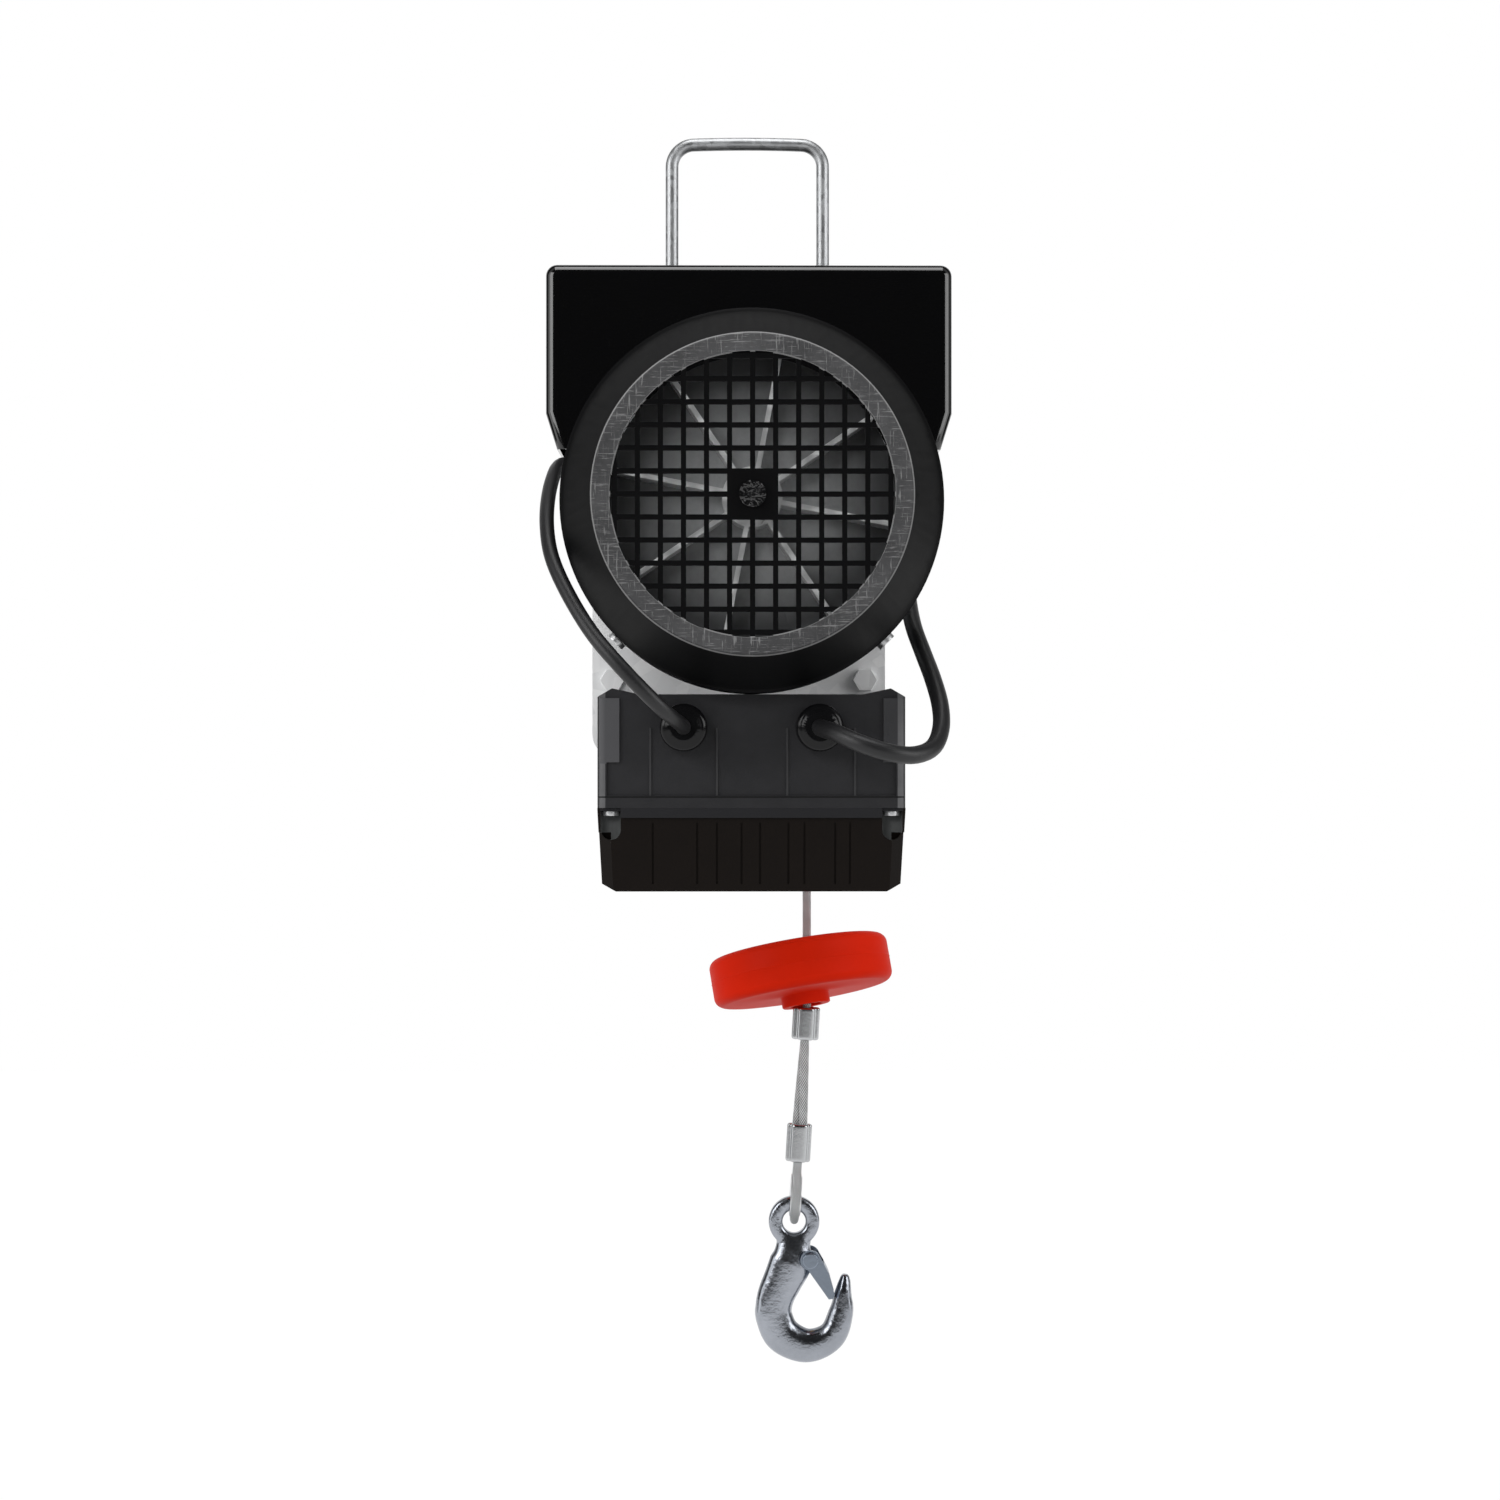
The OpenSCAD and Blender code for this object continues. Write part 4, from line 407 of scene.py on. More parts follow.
def noise(tree, where, scale, detail, rough=0.5):
    """Cloudy noise about 0.5: detail adds finer and finer clouds, and rough makes those stronger."""
    given = {"Vector": where, "Scale": scale, "Detail": detail, "Roughness": rough}
    return add(tree, "TexNoise", given).outputs[0]


grain, given, out = effect("grain", {"Scale": 400.0}, ["Value", "Height"])
fine = noise(grain, given["Vector"], given["Scale"], 4.0, 0.65)
cloud = noise(grain, given["Vector"], sums(grain, "MULTIPLY", given["Scale"], 0.09), 3.0)
value = sums(grain, "MULTIPLY_ADD", cloud, 0.7, sums(grain, "MULTIPLY", fine, 0.3))
grain.links.new(value, out["Value"])
grain.links.new(fine, out["Height"])

spangle, given, out = effect("spangle", {"Scale": 160.0}, ["Value", "Height"])
cells = add(spangle, "TexVoronoi", {"Vector": given["Vector"], "Scale": given["Scale"], "Randomness": 1.0})
tone = add(spangle, "SeparateColor", {0: cells.outputs["Color"]}).outputs[0]
cloud = noise(spangle, given["Vector"], sums(spangle, "MULTIPLY", given["Scale"], 0.2), 4.0)
value = sums(spangle, "MULTIPLY_ADD", tone, 0.55, sums(spangle, "MULTIPLY", cloud, 0.45))
spangle.links.new(value, out["Value"])
spangle.links.new(sums(spangle, "ADD", tone, cloud), out["Height"])

scratches, given, out = effect("scratches", {"Scale": 60.0, "Amount": 0.5}, ["Mask"])
edge = sums(scratches, "SUBTRACT", 0.78, sums(scratches, "MULTIPLY", given["Amount"], 0.25))
masks = []
for turn, stretch in ((0.5, (1, 1, 16)), (1.9, (14, 1, 1)), (2.7, (1, 1, 20))):
    turned = (0, turn, 0.1 * turn)
    laid = add(scratches, "Mapping", {0: given["Vector"], "Rotation": turned, "Scale": stretch})
    line = noise(scratches, laid.outputs[0], given["Scale"], 5.0, 0.7)
    masks.append(ramp(scratches, line, edge, sums(scratches, "ADD", edge, 0.06)))
scratches.links.new(sums(scratches, "MAXIMUM", masks[0], sums(scratches, "MAXIMUM", *masks[1:])), out["Mask"])

wires, given, out = effect("wires", {"Around": 7.0, "Pitch": 0.009, "Groove": 1.0}, ["Value", "Height"])
place = add(wires, "SeparateXYZ", {0: given["Vector"]}).outputs
slope = sums(wires, "DIVIDE", place["X"], given["Pitch"])
phase = sums(wires, "MULTIPLY_ADD", place["Y"], given["Around"], slope)
wave = sums(wires, "ABSOLUTE", sums(wires, "SINE", sums(wires, "MULTIPLY", phase, math.pi)))
wires.links.new(wave, out["Height"])
# away is 0.5 on a strand's outside, 0.25 beside it and 0 towards the rope's core. The value, which
# colours the rope, darkens in the grooves between wires and towards the core: a painted shade.
away = sums(wires, "ABSOLUTE", sums(wires, "SUBTRACT", place["Y"], 0.5))
# painted shade: a strand's side towards the rope's core is darkened
core_shade = ramp(wires, away, 0.35, 0.44, 1.0, 0.0)
open_ = sums(wires, "SUBTRACT", 1.0, sums(wires, "MULTIPLY", core_shade, given["Groove"]))
wires.links.new(sums(wires, "MULTIPLY", sums(wires, "POWER", wave, 0.6), open_), out["Value"])
print("groups:", [g.name for g in bpy.data.node_groups])


# %% [markdown]
# ## Finishes
# A finish starts from one colour and one roughness. A pattern moves both a little, as dust,
# casting skin or zinc cells do, and its height dents the surface by a real depth in metres.
# Wear adds scratches of a second colour. The same builder serves all, and each finish has
# its own values.

# %% One builder for all finishes
def tinted(colour, factor):
    """A colour times a factor, at most 1 in each part, with an alpha of 1."""
    return tuple(min(1.0, c * factor) for c in colour) + (1.0,)


def finish(name, colour, rough, metal=0.0, pattern=grain, scale=400.0, tint=0.15, spread=0.06,
           depth=0.00003, stretch=(1, 1, 1), wear=None, uv=False, inputs=(), **shader):
    """A material whose colour and roughness follow a pattern's value, and whose dents its height."""
    made = bpy.data.materials.new(name)
    made.use_nodes = True
    tree = made.node_tree
    tree.nodes.clear()
    where = add(tree, "TexCoord").outputs["UV" if uv else "Object"]
    laid = add(tree, "Mapping", {0: where, "Scale": stretch}).outputs[0]
    given = dict(inputs) if uv else {"Scale": scale}
    look = add(tree, "Group", {"Vector": laid, **given}, node_tree=pattern)
    tone = mixed(tree, look.outputs["Value"], tinted(colour, 1 - tint), tinted(colour, 1 + tint))
    dull = ramp(tree, look.outputs["Value"], 0.0, 1.0, rough - spread, rough + spread)
    if wear:
        under, size, amount = wear
        mark = add(tree, "Group", {"Vector": laid, "Scale": size, "Amount": amount}, node_tree=scratches)
        tone = mixed(tree, mark.outputs[0], tone, tinted(under, 1))
    dent = add(tree, "Bump", {"Strength": 1.0, "Distance": depth, "Height": look.outputs["Height"]})
    bsdf = add(tree, "BsdfPrincipled", {"Base Color": tone, "Roughness": dull, "Metallic": metal,
                                        "Normal": dent.outputs[0], **shader})
    add(tree, "OutputMaterial", {"Surface": bsdf.outputs[0]})
    return made


print("a grey of 0.5 made 1.2 times brighter:", tinted((0.5,), 1.2)[0])

# %% Paints, plastics and rubber
enamel = finish("black_enamel", (0.0012, 0.0012, 0.0014), 0.12, scale=260, tint=0.3, spread=0.05,
                depth=0.00001, wear=((0.05, 0.05, 0.055), 45, 0.16),
                **{"Coat Weight": 0.5, "Coat Roughness": 0.05})
cover_plastic = finish("fan_cover_plastic", (0.003, 0.003, 0.0033), 0.5, scale=900, tint=0.4, depth=0.00003)
fan_plastic = finish("fan_plastic", (0.85, 0.86, 0.86), 0.4, scale=500, tint=0.06, depth=0.00001)
box_plastic = finish("box_plastic", (0.021, 0.021, 0.023), 0.5, scale=1500, tint=0.25, depth=0.00006,
                     wear=((0.06, 0.06, 0.065), 70, 0.12), **{"Specular IOR Level": 0.3})
# painted shade: the lid is darker than the box's own grey, and its brown is a warm painted reflection
lid_plastic_painted_shade = finish("lid_plastic_painted_shade", (0.0065, 0.0045, 0.0035), 0.6, scale=1500, tint=0.3, depth=0.00004,
                     wear=((0.03, 0.026, 0.022), 70, 0.12), **{"Specular IOR Level": 0.12})
gland_nylon = finish("gland_nylon", (0.005, 0.005, 0.0055), 0.16, scale=500, tint=0.2, depth=0.00001,
                     **{"Specular IOR Level": 0.25})
sheath = finish("lead_sheath", (0.009, 0.009, 0.01), 0.45, scale=700, tint=0.25, depth=0.00003)
seal_rubber = finish("seal_rubber", (0.01, 0.01, 0.01), 0.7, scale=900, tint=0.2, depth=0.00003)
red_plastic = finish("stop_disc_plastic", (0.84, 0.022, 0.004), 0.48, scale=500, tint=0.09, depth=0.00003,
                     wear=((0.4, 0.012, 0.004), 50, 0.2), **{"Specular IOR Level": 0.04})
yellow_plastic = finish("handset_plastic", (0.80, 0.42, 0.01), 0.45, scale=1200, tint=0.06, depth=0.00004)
black_plastic = finish("button_plastic", (0.02, 0.02, 0.021), 0.4, scale=1000, tint=0.2, depth=0.00003)
red_button = finish("stop_button_plastic", (0.55, 0.012, 0.01), 0.25, scale=500, tint=0.08, depth=0.00001)
switch_plastic = finish("switch_plastic", (0.45, 0.03, 0.02), 0.45, scale=700, tint=0.1)
can_white = finish("capacitor_can", (0.75, 0.75, 0.73), 0.45, scale=500, tint=0.05)
drum_paint = finish("drum_primer", (0.09, 0.1, 0.11), 0.5, scale=300, tint=0.2,
                    wear=((0.4, 0.4, 0.4), 60, 0.3))
print(len(bpy.data.materials), "materials so far")

# %% [markdown]
# Hot-dip zinc on the plates and the U-bolt has cloudy cells. Plated zinc on screws is even and
# bright, and the forged hook is lumpy under its zinc. Noise and cells follow the object, while
# the rope's wires must follow the rope, so they are laid out by its own UV.

# %% Metals
zinc_sheet = finish("galvanised_sheet", (0.9, 0.91, 0.92), 0.48, 0.15, spangle, 150, 0.14, 0.1, 0.00002,
                    wear=((0.45, 0.46, 0.48), 50, 0.2))
zinc_rod = finish("galvanised_rod", (0.5, 0.51, 0.52), 0.46, 1.0, spangle, 330, 0.3, 0.12, 0.00008)
zinc_bright = finish("zinc_plated", (0.76, 0.77, 0.78), 0.34, 0.75, scale=700, tint=0.12)
cast_alloy = finish("cast_aluminium", (0.42, 0.43, 0.44), 0.45, 1.0, scale=900, tint=0.15, depth=0.00006)
ferrule_alloy = finish("pressed_aluminium", (0.52, 0.53, 0.54), 0.2, 1.0, scale=500, tint=0.14, depth=0.00003,
                       wear=((0.35, 0.36, 0.38), 90, 0.3))
forged_zinc = finish("forged_zinc", (0.36, 0.38, 0.42), 0.22, 1.0, scale=330, tint=0.4, spread=0.1,
                     depth=0.00022, wear=((0.2, 0.22, 0.26), 60, 0.35))
latch_zinc = finish("latch_zinc", (0.27, 0.31, 0.37), 0.3, 1.0, scale=500, tint=0.35, depth=0.00006)
turned_steel = finish("turned_steel", (0.5, 0.5, 0.51), 0.28, 1.0, scale=600, tint=0.1, stretch=(1, 6, 1))
gear_steel = finish("gear_steel", (0.32, 0.33, 0.35), 0.38, 1.0, scale=500, tint=0.15)
lamination = finish("laminations", (0.1, 0.1, 0.11), 0.5, 0.6, scale=900, tint=0.2, stretch=(0.2, 8, 0.2))
copper = finish("copper_winding", (0.6, 0.25, 0.1), 0.35, 0.9, scale=900, tint=0.25, stretch=(1, 0.3, 1),
                depth=0.0002)
# painted shade: both rope finishes take the wires' value as colour, dark in the grooves
rope_steel = finish("rope_wires", (0.5, 0.51, 0.515), 0.42, 0.2, wires, tint=0.94, spread=0.08,
                    depth=0.00004, uv=True, inputs={"Around": 7.0, "Pitch": 0.009})
rope_far = finish("rope_strands", (0.36, 0.37, 0.38), 0.42, 1.0, wires, tint=0.45, spread=0.08,
                  depth=0.0005, uv=True, inputs={"Around": 6.0, "Pitch": 0.026 / 6, "Groove": 0.0})
print(len(bpy.data.materials), "materials")

# %% [markdown]
# ## The two leads
# The mains lead is 7 mm, the handset's 6 mm. Both leave the box through glands, bend up beside
# the fan and run back along the frame in clips. Their routes are the solids' own points, with a
# smooth curve through them. The mains lead hangs behind to its plug. The handset's lead is put
# away in a neat coil behind the gearbox, and drops from it to the handset.

# %% Routes, in millimetres
MAINS_X, HANDSET_X = 68.5, -77.5
mains_route = np.array([
    [27.4, -205, -206], [28, -217, -206.5], [33, -230, -208.5], [42, -238, -212.5], [53, -239, -216],
    [63, -234, -217], [71, -225, -214], [75, -214, -206.5], [75.5, -203, -197], [73.5, -190, -186],
    [70.5, -176, -175], [67.5, -162, -163.5], [66.5, -145, -151], [67.5, -125, -138], [MAINS_X, -104, -125.5],
    [MAINS_X, -90, -119.5], [MAINS_X, -76, -118], [MAINS_X, -62, -118], [MAINS_X, -30, -119.5],
    [MAINS_X, 0, -120], [MAINS_X, 30, -119.5], [MAINS_X, 62, -118], [MAINS_X, 76, -118],
    [MAINS_X, 90, -119.5], [MAINS_X, 105, -124], [67.5, 119, -133], [65, 129, -146], [62, 134, -162],
    [59, 136, -180], [58, 136, -198], [58, 136, -212]]) * MM
handset_route = np.array([
    [-27.4, -205, -206], [-28, -217, -205], [-33, -230, -201], [-41, -236, -193.5], [-52, -236, -182],
    [-63, -229, -169], [-73, -217, -153], [-80, -204, -138], [-83, -188, -124], [-83.5, -168, -110],
    [-82, -146, -98], [-80, -122, -92.5], [-78.5, -104, -93], [HANDSET_X, -89, -95], [HANDSET_X, -76, -96],
    [HANDSET_X, -62, -96], [HANDSET_X, -35, -98], [HANDSET_X, 0, -102], [HANDSET_X, 35, -105],
    [HANDSET_X, 62, -107], [HANDSET_X, 75, -107], [HANDSET_X, 83, -109.4], [-77.4, 91, -116],
    [-77.2, 98.8, -127], [-77, 107, -134], [-76.6, 116, -136.5], [-76.2, 126, -133.7], [-76, 133.7, -126],
    [-76, 137, -114]]) * MM


def coil(loops=4.5, radius=40.0, step=6.9, x=-36.0, y=137.0, z=-108.0):
    """Turns of a flat coil: the radius falls by a step a turn, then grows again in a layer further back."""
    u = np.linspace(0, loops, int(24 * loops) + 1)
    r = radius - step * np.minimum(u, loops - u)
    climb = np.clip((u - loops / 2 + 0.25) * 2, 0, 1)
    a = np.radians(180 - 360 * u)
    return np.stack([x + r * np.cos(a), y + step * climb ** 2 * (3 - 2 * climb), z + r * np.sin(a)], -1) * MM


drop = np.array([[4, 143.9, -114], [4, 143.9, -120], [4, 143.9, -129], [4, 143.9, -138]]) * MM
mains_path = smooth_line(mains_route, 0.003)
handset_path = smooth_line(np.concatenate([handset_route, coil(), drop]), 0.003)
print("mains lead and handset lead, m:", [round(length_of(p), 3) for p in (mains_path, handset_path)])

# %% Make both leads
MAINS_R, HANDSET_R = 0.0035, 0.003
mains_lead = piece("mains_lead", [tube(mains_path, MAINS_R, 20)], sheath, "frame", ["mains_cord"])
handset_lead = piece("handset_lead", [tube(handset_path, HANDSET_R, 18)], sheath, "frame",
                     ["pendant_cord", "pendant_coil"])
print("faces of both leads:", [len(lead.data.polygons) for lead in (mains_lead, handset_lead)])

# %% [markdown]
# ## The plug
# A two-pin plug is moulded round the end of the lead. Its body is a turned outline, with
# grip ridges made by adding a wave to the radius, and a ribbed sleeve that lets the lead bend.

# %% Plug body and pins
def ridges(angle, along):
    """Radius scale: sixteen grooves of up to 3 % round the grip, and rings of up to 10 % on the sleeve."""
    grip = 0.03 * (np.abs(along - 0.018) < 0.007) * (0.5 + 0.5 * np.cos(16 * angle))
    sleeve = 0.10 * (along > 0.033) * (along < 0.049) * (0.5 + 0.5 * np.cos(along / MM * 2.1))
    return 1 - grip - sleeve


body_line = rounded([[0.0, 0], [16.5, 0], [17.5, 1], [17.5, 12], [14.2, 24], [9, 30], [7.6, 34], [5.2, 46],
                     [4.6, 50], [3.4, 50], [0.0, 50]], 0.8) * MM
plug_at = np.array([58, 136, -262]) * MM
plug = piece("plug_body", [revolve(body_line, plug_at, "Z", 96, ridges)], black_plastic, "frame",
             ["mains_plug"])
pin = rounded([[0.0, -20.5], [1.3, -20.5], [2.0, -19.4], [2.0, 0], [0, 0]], 0.5) * MM
pins = piece("plug_pins", [revolve(pin, plug_at + np.array([s * 9.5, 0, 0]) * MM, "Z", 24) for s in (-1, 1)],
             zinc_bright, "frame")
print("plug and pins, mm high:", [round(o.dimensions.z / MM, 1) for o in (plug, pins)])

# %% [markdown]
# ## Wire rope
# The rope has twelve outer strands of seven wires round a core, 4 mm across, galvanised. Up close the
# strands are what makes it look like rope, so each is real geometry that winds round the
# path, and the wires inside a strand are fine ridges made by a bump, with a painted shade in the
# grooves between them and on each strand's side towards the core. The fall between the drum and the
# ferrule stretches as the hook is lowered, because more rope leaves the drum.

# %% The hanging fall
ROPE_R = 0.002
ROPE_X, FERRULE_TOP, ROPE_TOP = 28 * MM, -336 * MM, -119.02 * MM
share = np.linspace(0, 1, 220)
fall = np.stack([ROPE_X + 0 * share, 0 * share, ROPE_TOP + (FERRULE_TOP - ROPE_TOP) * share], -1)
hanging = piece("rope_fall", strands(fall, ROPE_R), rope_steel, "frame", ["hoist_rope"])
hanging.parent = None
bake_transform(hanging)
print("hanging rope, m:", round(length_of(fall), 3))

# %% [markdown]
# On the drum the rope lies in layers. The top one shows between the side plates and has real
# strands, like the fall. Of the layer under it only the lines between turns can be seen, so it
# is a plain tube whose finish draws the strands, with a painted shade in the grooves between them.

# %% The rope on the drum
AXIS_Z, TOP_R, LOWER_R = -115.0, 28.0, 23.9   # the motor's axis and the two layers of rope, in mm
LOWER_SIDES = 10


def turns(count, radius, y0, y1, per_turn, tuck=0.0):
    """A winding: its angle and its y grow evenly. The first sixth of a turn can be tucked inwards."""
    a = np.linspace(0, 2 * np.pi * count, int(per_turn * count) + 1)
    r = radius - tuck * (1 - np.clip(a / (np.pi / 3), 0, 1)) ** 2
    return np.stack([r * np.cos(a), y0 + (y1 - y0) * a / a[-1], AXIS_Z - r * np.sin(a)], -1) * MM


top_layer = turns(11, TOP_R, -49.5, 0.0, 60, tuck=3.0)
top_layer = np.concatenate([top_layer, np.array([[28, 0, -117.0], [28, 0, -119.0]]) * MM])
lower_layer = turns(25, LOWER_R, -50.0, 50.0, 40)
parts = strands(top_layer, ROPE_R, sides=6) + [tube(lower_layer, ROPE_R, LOWER_SIDES)]
winding = piece("rope_on_drum", parts, rope_steel, "drum", ["rope_winding"])
winding.data.materials.append(rope_far)
layer_of = np.zeros(len(winding.data.polygons), np.int32)
layer_of[-(len(lower_layer) - 1) * LOWER_SIDES - 2:] = 1   # the lower layer and its caps come last
winding.data.polygons.foreach_set("material_index", layer_of)
print("rope on the top layer, m:", round(length_of(top_layer), 2))

# %% [markdown]
# ## The rope's end
# The rope runs through an upper ferrule, doubles back as two parts, one nearly behind the other,
# and ends in an eye round a thimble, closed by a lower ferrule. It leans a little to the left. So each
# part is drawn straight down from the upper ferrule and turned by the same small angle.

# %% Rope end shapes
LEAN = math.degrees(math.atan(6.0 / 101.0))
PIVOT = np.array([28, 0, -336]) * MM


def leaning(part):
    """A part of the rope end, turned by its lean about the upper ferrule's top."""
    return tilted(part, LEAN, PIVOT)


def down(x, y, depth):
    """A point of the rope end before it leans: depth is measured down from the upper ferrule's top."""
    return np.stack(np.broadcast_arrays(28.0 + x, y, -336.0 - depth), -1) * MM


def mirrored(path):
    """The same path with front and back swapped, from its last point to its first."""
    return (path * np.array([1, -1, 1]))[::-1]


PART_R, LOOP_R, LOOP_DOWN, LOOP_TURN = 2.1, 10.5, 90.03, 29.95
twist, depth = np.radians(np.linspace(92, 42, 70)), np.linspace(14.0, 57.0, 70)
parts = []
for side in (-1, 1):
    parts += strands(down(side * PART_R * np.cos(twist), side * -PART_R * np.sin(twist), depth), ROPE_R)
arc = np.radians(np.linspace(LOOP_TURN, -180 - LOOP_TURN, 60))
bow = down(0.0, LOOP_R * np.cos(arc), LOOP_DOWN - LOOP_R * np.sin(arc))
leg = down(0.0, np.array([2.2, 2.6]), np.array([70.0, 73.5]))
parts += strands(smooth_line(np.concatenate([leg, bow, mirrored(leg)]), 0.0012), ROPE_R)
piece("rope_eye", [leaning(p) for p in parts], rope_steel, "rope_end", ["rope_loop"])

cup = rounded([[3.0, -2.2], [1.8, -2.6], [1.7, -1.9], [2.5, -1.2], [2.5, 1.2], [1.7, 1.9], [1.8, 2.6],
               [3.0, 2.2]], 0.25)
end = down(0.0, np.array([5.4]), np.array([78.8]))
lined = spaced(np.concatenate([end, bow, mirrored(end)]), 0.001)
piece("thimble_cup", [leaning(carried(cup * MM, lined, (1, 0, 0)))], zinc_bright, "rope_end", ["thimble"])
print("lean of the rope end, degrees:", round(LEAN, 2))

# %% [markdown]
# A ferrule is an aluminium sleeve pressed onto both parts of the rope. The press leaves a lobe
# over each part and a wing at each side. One outline is carried down the rope end for it, and
# is drawn in at both ends.

# %% Ferrules
def ferrule(wing, top, length):
    """A pressed sleeve: a round lobe on each part of the rope, a wing at each side, and drawn-in ends."""
    half = np.array([[wing, -2.3], [wing, 2.3], [3.7, 2.5], [3.7, 5.6], [-3.7, 5.6], [-3.7, 2.5]])
    ring = rounded(np.concatenate([half, -half]), 3.2, 6)
    s = np.concatenate([np.linspace(0, 1.2, 7), np.linspace(2, length - 2, 9),
                        np.linspace(length - 1.2, length, 7)])
    edge = np.minimum(np.minimum(s, length - s) / 1.2, 1)
    draw = 0.9 * (1 - np.sqrt(1 - (1 - edge) ** 2))
    x, y = np.moveaxis(ring[None] - draw[:, None, None] * unit(ring)[None], -1, 0)
    return leaning(surface(down(x, y, (top + s)[:, None])))


piece("ferrule_upper", [ferrule(6.4, 0.1, 15.3)], ferrule_alloy, "rope_end", ["upper_ferrule"])
piece("ferrule_lower", [ferrule(5.9, 55.1, 17.8)], ferrule_alloy, "rope_end", ["lower_ferrule"])
print("ferrules, mm across:", 2 * 6.4, 2 * 5.9)

# %% [markdown]
# ## Stop disc
# The red disc is a moulding that sits on the upper ferrule and lifts the limit lever. Its
# outline is turned round the rope, with a fine parting ridge from the two halves of its mould
# round the rim. On its loose bore it has tipped and leaned back about ten degrees each way.

# %% Disc outline and turning
DISC_TIP, DISC_LEAN, R, LOW, HIGH, EDGE = -9.5, -10.5, 42.5, 6.0, 28.5, 4.5
low_turn, high_turn = np.radians(np.linspace(-90, -4, 12)), np.radians(np.linspace(4, 90, 12))
low_edge = np.stack([R - EDGE + EDGE * np.cos(low_turn), LOW + EDGE + EDGE * np.sin(low_turn)], -1)
high_edge = np.stack([R - EDGE + EDGE * np.cos(high_turn), HIGH - EDGE + EDGE * np.sin(high_turn)], -1)
ridge = np.array([[R, 16.9], [R + 0.15, 17.2], [R, 17.5]])
hub = np.array([[3.2, 1.4], [7.4, 2.4], [7.4, 0.8], [7.7, 0.6], [10.9, 0.6], [11.4, 1.1], [11.4, 5.4],
                [12.0, 6.0]])
boss = np.array([[11.9, 28.5], [11.4, 28.9], [11.4, 29.3], [11.1, 29.7], [10.2, 29.7], [9.9, 29.4]])
disc_line = np.concatenate([hub, low_edge, ridge, high_edge, boss]) * MM
disc_part = tilted(revolve(disc_line, PIVOT, "Z", 128), DISC_LEAN, PIVOT, about_x=True)
piece("stop_disc_moulding", [tilted(disc_part, DISC_TIP, PIVOT)], red_plastic, body_of_node["stop_disc"],
      ["stop_disc"], crease=50)
print("disc across, mm:", 2 * R)

# %% [markdown]
# ## Forged hook
# A forging has no sharp inside corners: its eye runs into its shank, and its section is a
# rounded oval that is deepest in the bowl and thins towards the tip. The sections follow the
# middle of the solid's outline. The eye is a separate ring, and a voxel remesh then joins
# the two into one skin, whose corners a light smoothing fills as forging does.

# %% Hook skin
line = [[22, 8.0, -444], [21.6, 8.0, -449], [20.8, 9.9, -455.7], [16.9, 9.2, -464.5], [13.8, 8.7, -471.3],
        [12.4, 8.45, -477.4], [12.7, 8.5, -482.5], [17.1, 8.57, -491.05], [28.35, 7.8, -495.7],
        [39.6, 6.67, -491.05], [44.2, 5.64, -479.85], [45, 4.1, -472], [45.9, 2.6, -465], [46, 1.4, -462.0]]
line = smooth_line(line, 1.0)   # x, half the width, z
share = np.linspace(0, 1, len(line))
half = line[:, 1]
thick = np.interp(share, [0, 0.06, 0.12, 0.75, 0.93, 1], [3.8, 5.2, 6.0, 6.0, 4.6, 2.4])
a = around(48)
co, si = np.cos(a), np.sin(a)
FULLNESS, FLASH = 0.8, 0.25   # a fullness of 1 is an ellipse, and less is squarer
flash = FLASH * np.sign(co) * np.exp(-(si / 0.09) ** 2) * (np.abs(co) > 0.5)
out = half[:, None] * np.sign(co) * np.abs(co) ** FULLNESS + flash
over = thick[:, None] * np.sign(si) * np.abs(si) ** FULLNESS
shank = carried(np.stack([out, over], -1) * MM, (line * [1, 0, 1]) * MM, (0, 1, 0))
eye_line = rounded([[5.4, -3.5], [12, -3.5], [12, 3.5], [5.4, 3.5]], 2.4, 6) * MM
eye = revolve(eye_line, np.array([22, 0, -437]) * MM, "Y", 72)
hook = piece("forged_hook", [shank, eye], forged_zinc, body_of_node["hook"], ["hook"])
skin = hook.modifiers.new("skin", "REMESH")
skin.mode, skin.voxel_size, skin.use_smooth_shade = "VOXEL", 0.0006, True
soft = hook.modifiers.new("fillets", "SMOOTH")
soft.factor, soft.iterations = 0.5, 6
print("hook sections:", len(line))

# %% [markdown]
# ## Pole U-bolt and strap
# The U-bolt is a bent 6 mm rod. Its crown is a touch bowed, as hand-bent rod is, so it is a tube
# along a path and not a sharp copy of the solid.

# %% U-bolt
LEG, CROWN, BEND = 35.5, 70.5, 10.0
turn = np.radians(np.linspace(0, 90, 13))
right = np.stack([LEG - BEND + BEND * np.cos(turn), CROWN - BEND + BEND * np.sin(turn)], -1)
middle = np.linspace(LEG - BEND, -(LEG - BEND), 30)[1:-1]
crown = np.stack([middle, CROWN - 0 * middle], -1)
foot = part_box("pole_u_bolt")[0].z / MM
flat = np.concatenate([[[LEG, foot], [LEG, 10.0], [LEG, 40.0]], right, crown, (right * [-1, 1])[::-1],
                       [[-LEG, 40.0], [-LEG, 10.0], [-LEG, foot]]])
flat[:, 1] -= 0.9 * np.clip(flat[:, 1] / CROWN, 0, 1) * np.minimum((flat[:, 0] / LEG) ** 2, 1)
rod = np.stack([flat[:, 0], 0 * flat[:, 0], flat[:, 1]], -1) * MM
piece("u_bolt_rod", [tube(rod, 0.003, 24)], zinc_rod, "frame", ["pole_u_bolt"])
print("U-bolt rod, m:", round(length_of(rod), 3))

# %% [markdown]
# The strap is a short hook-and-loop tape that holds the coil to the bar on the gearbox: a flat
# section carried round a loop, with a loose end.

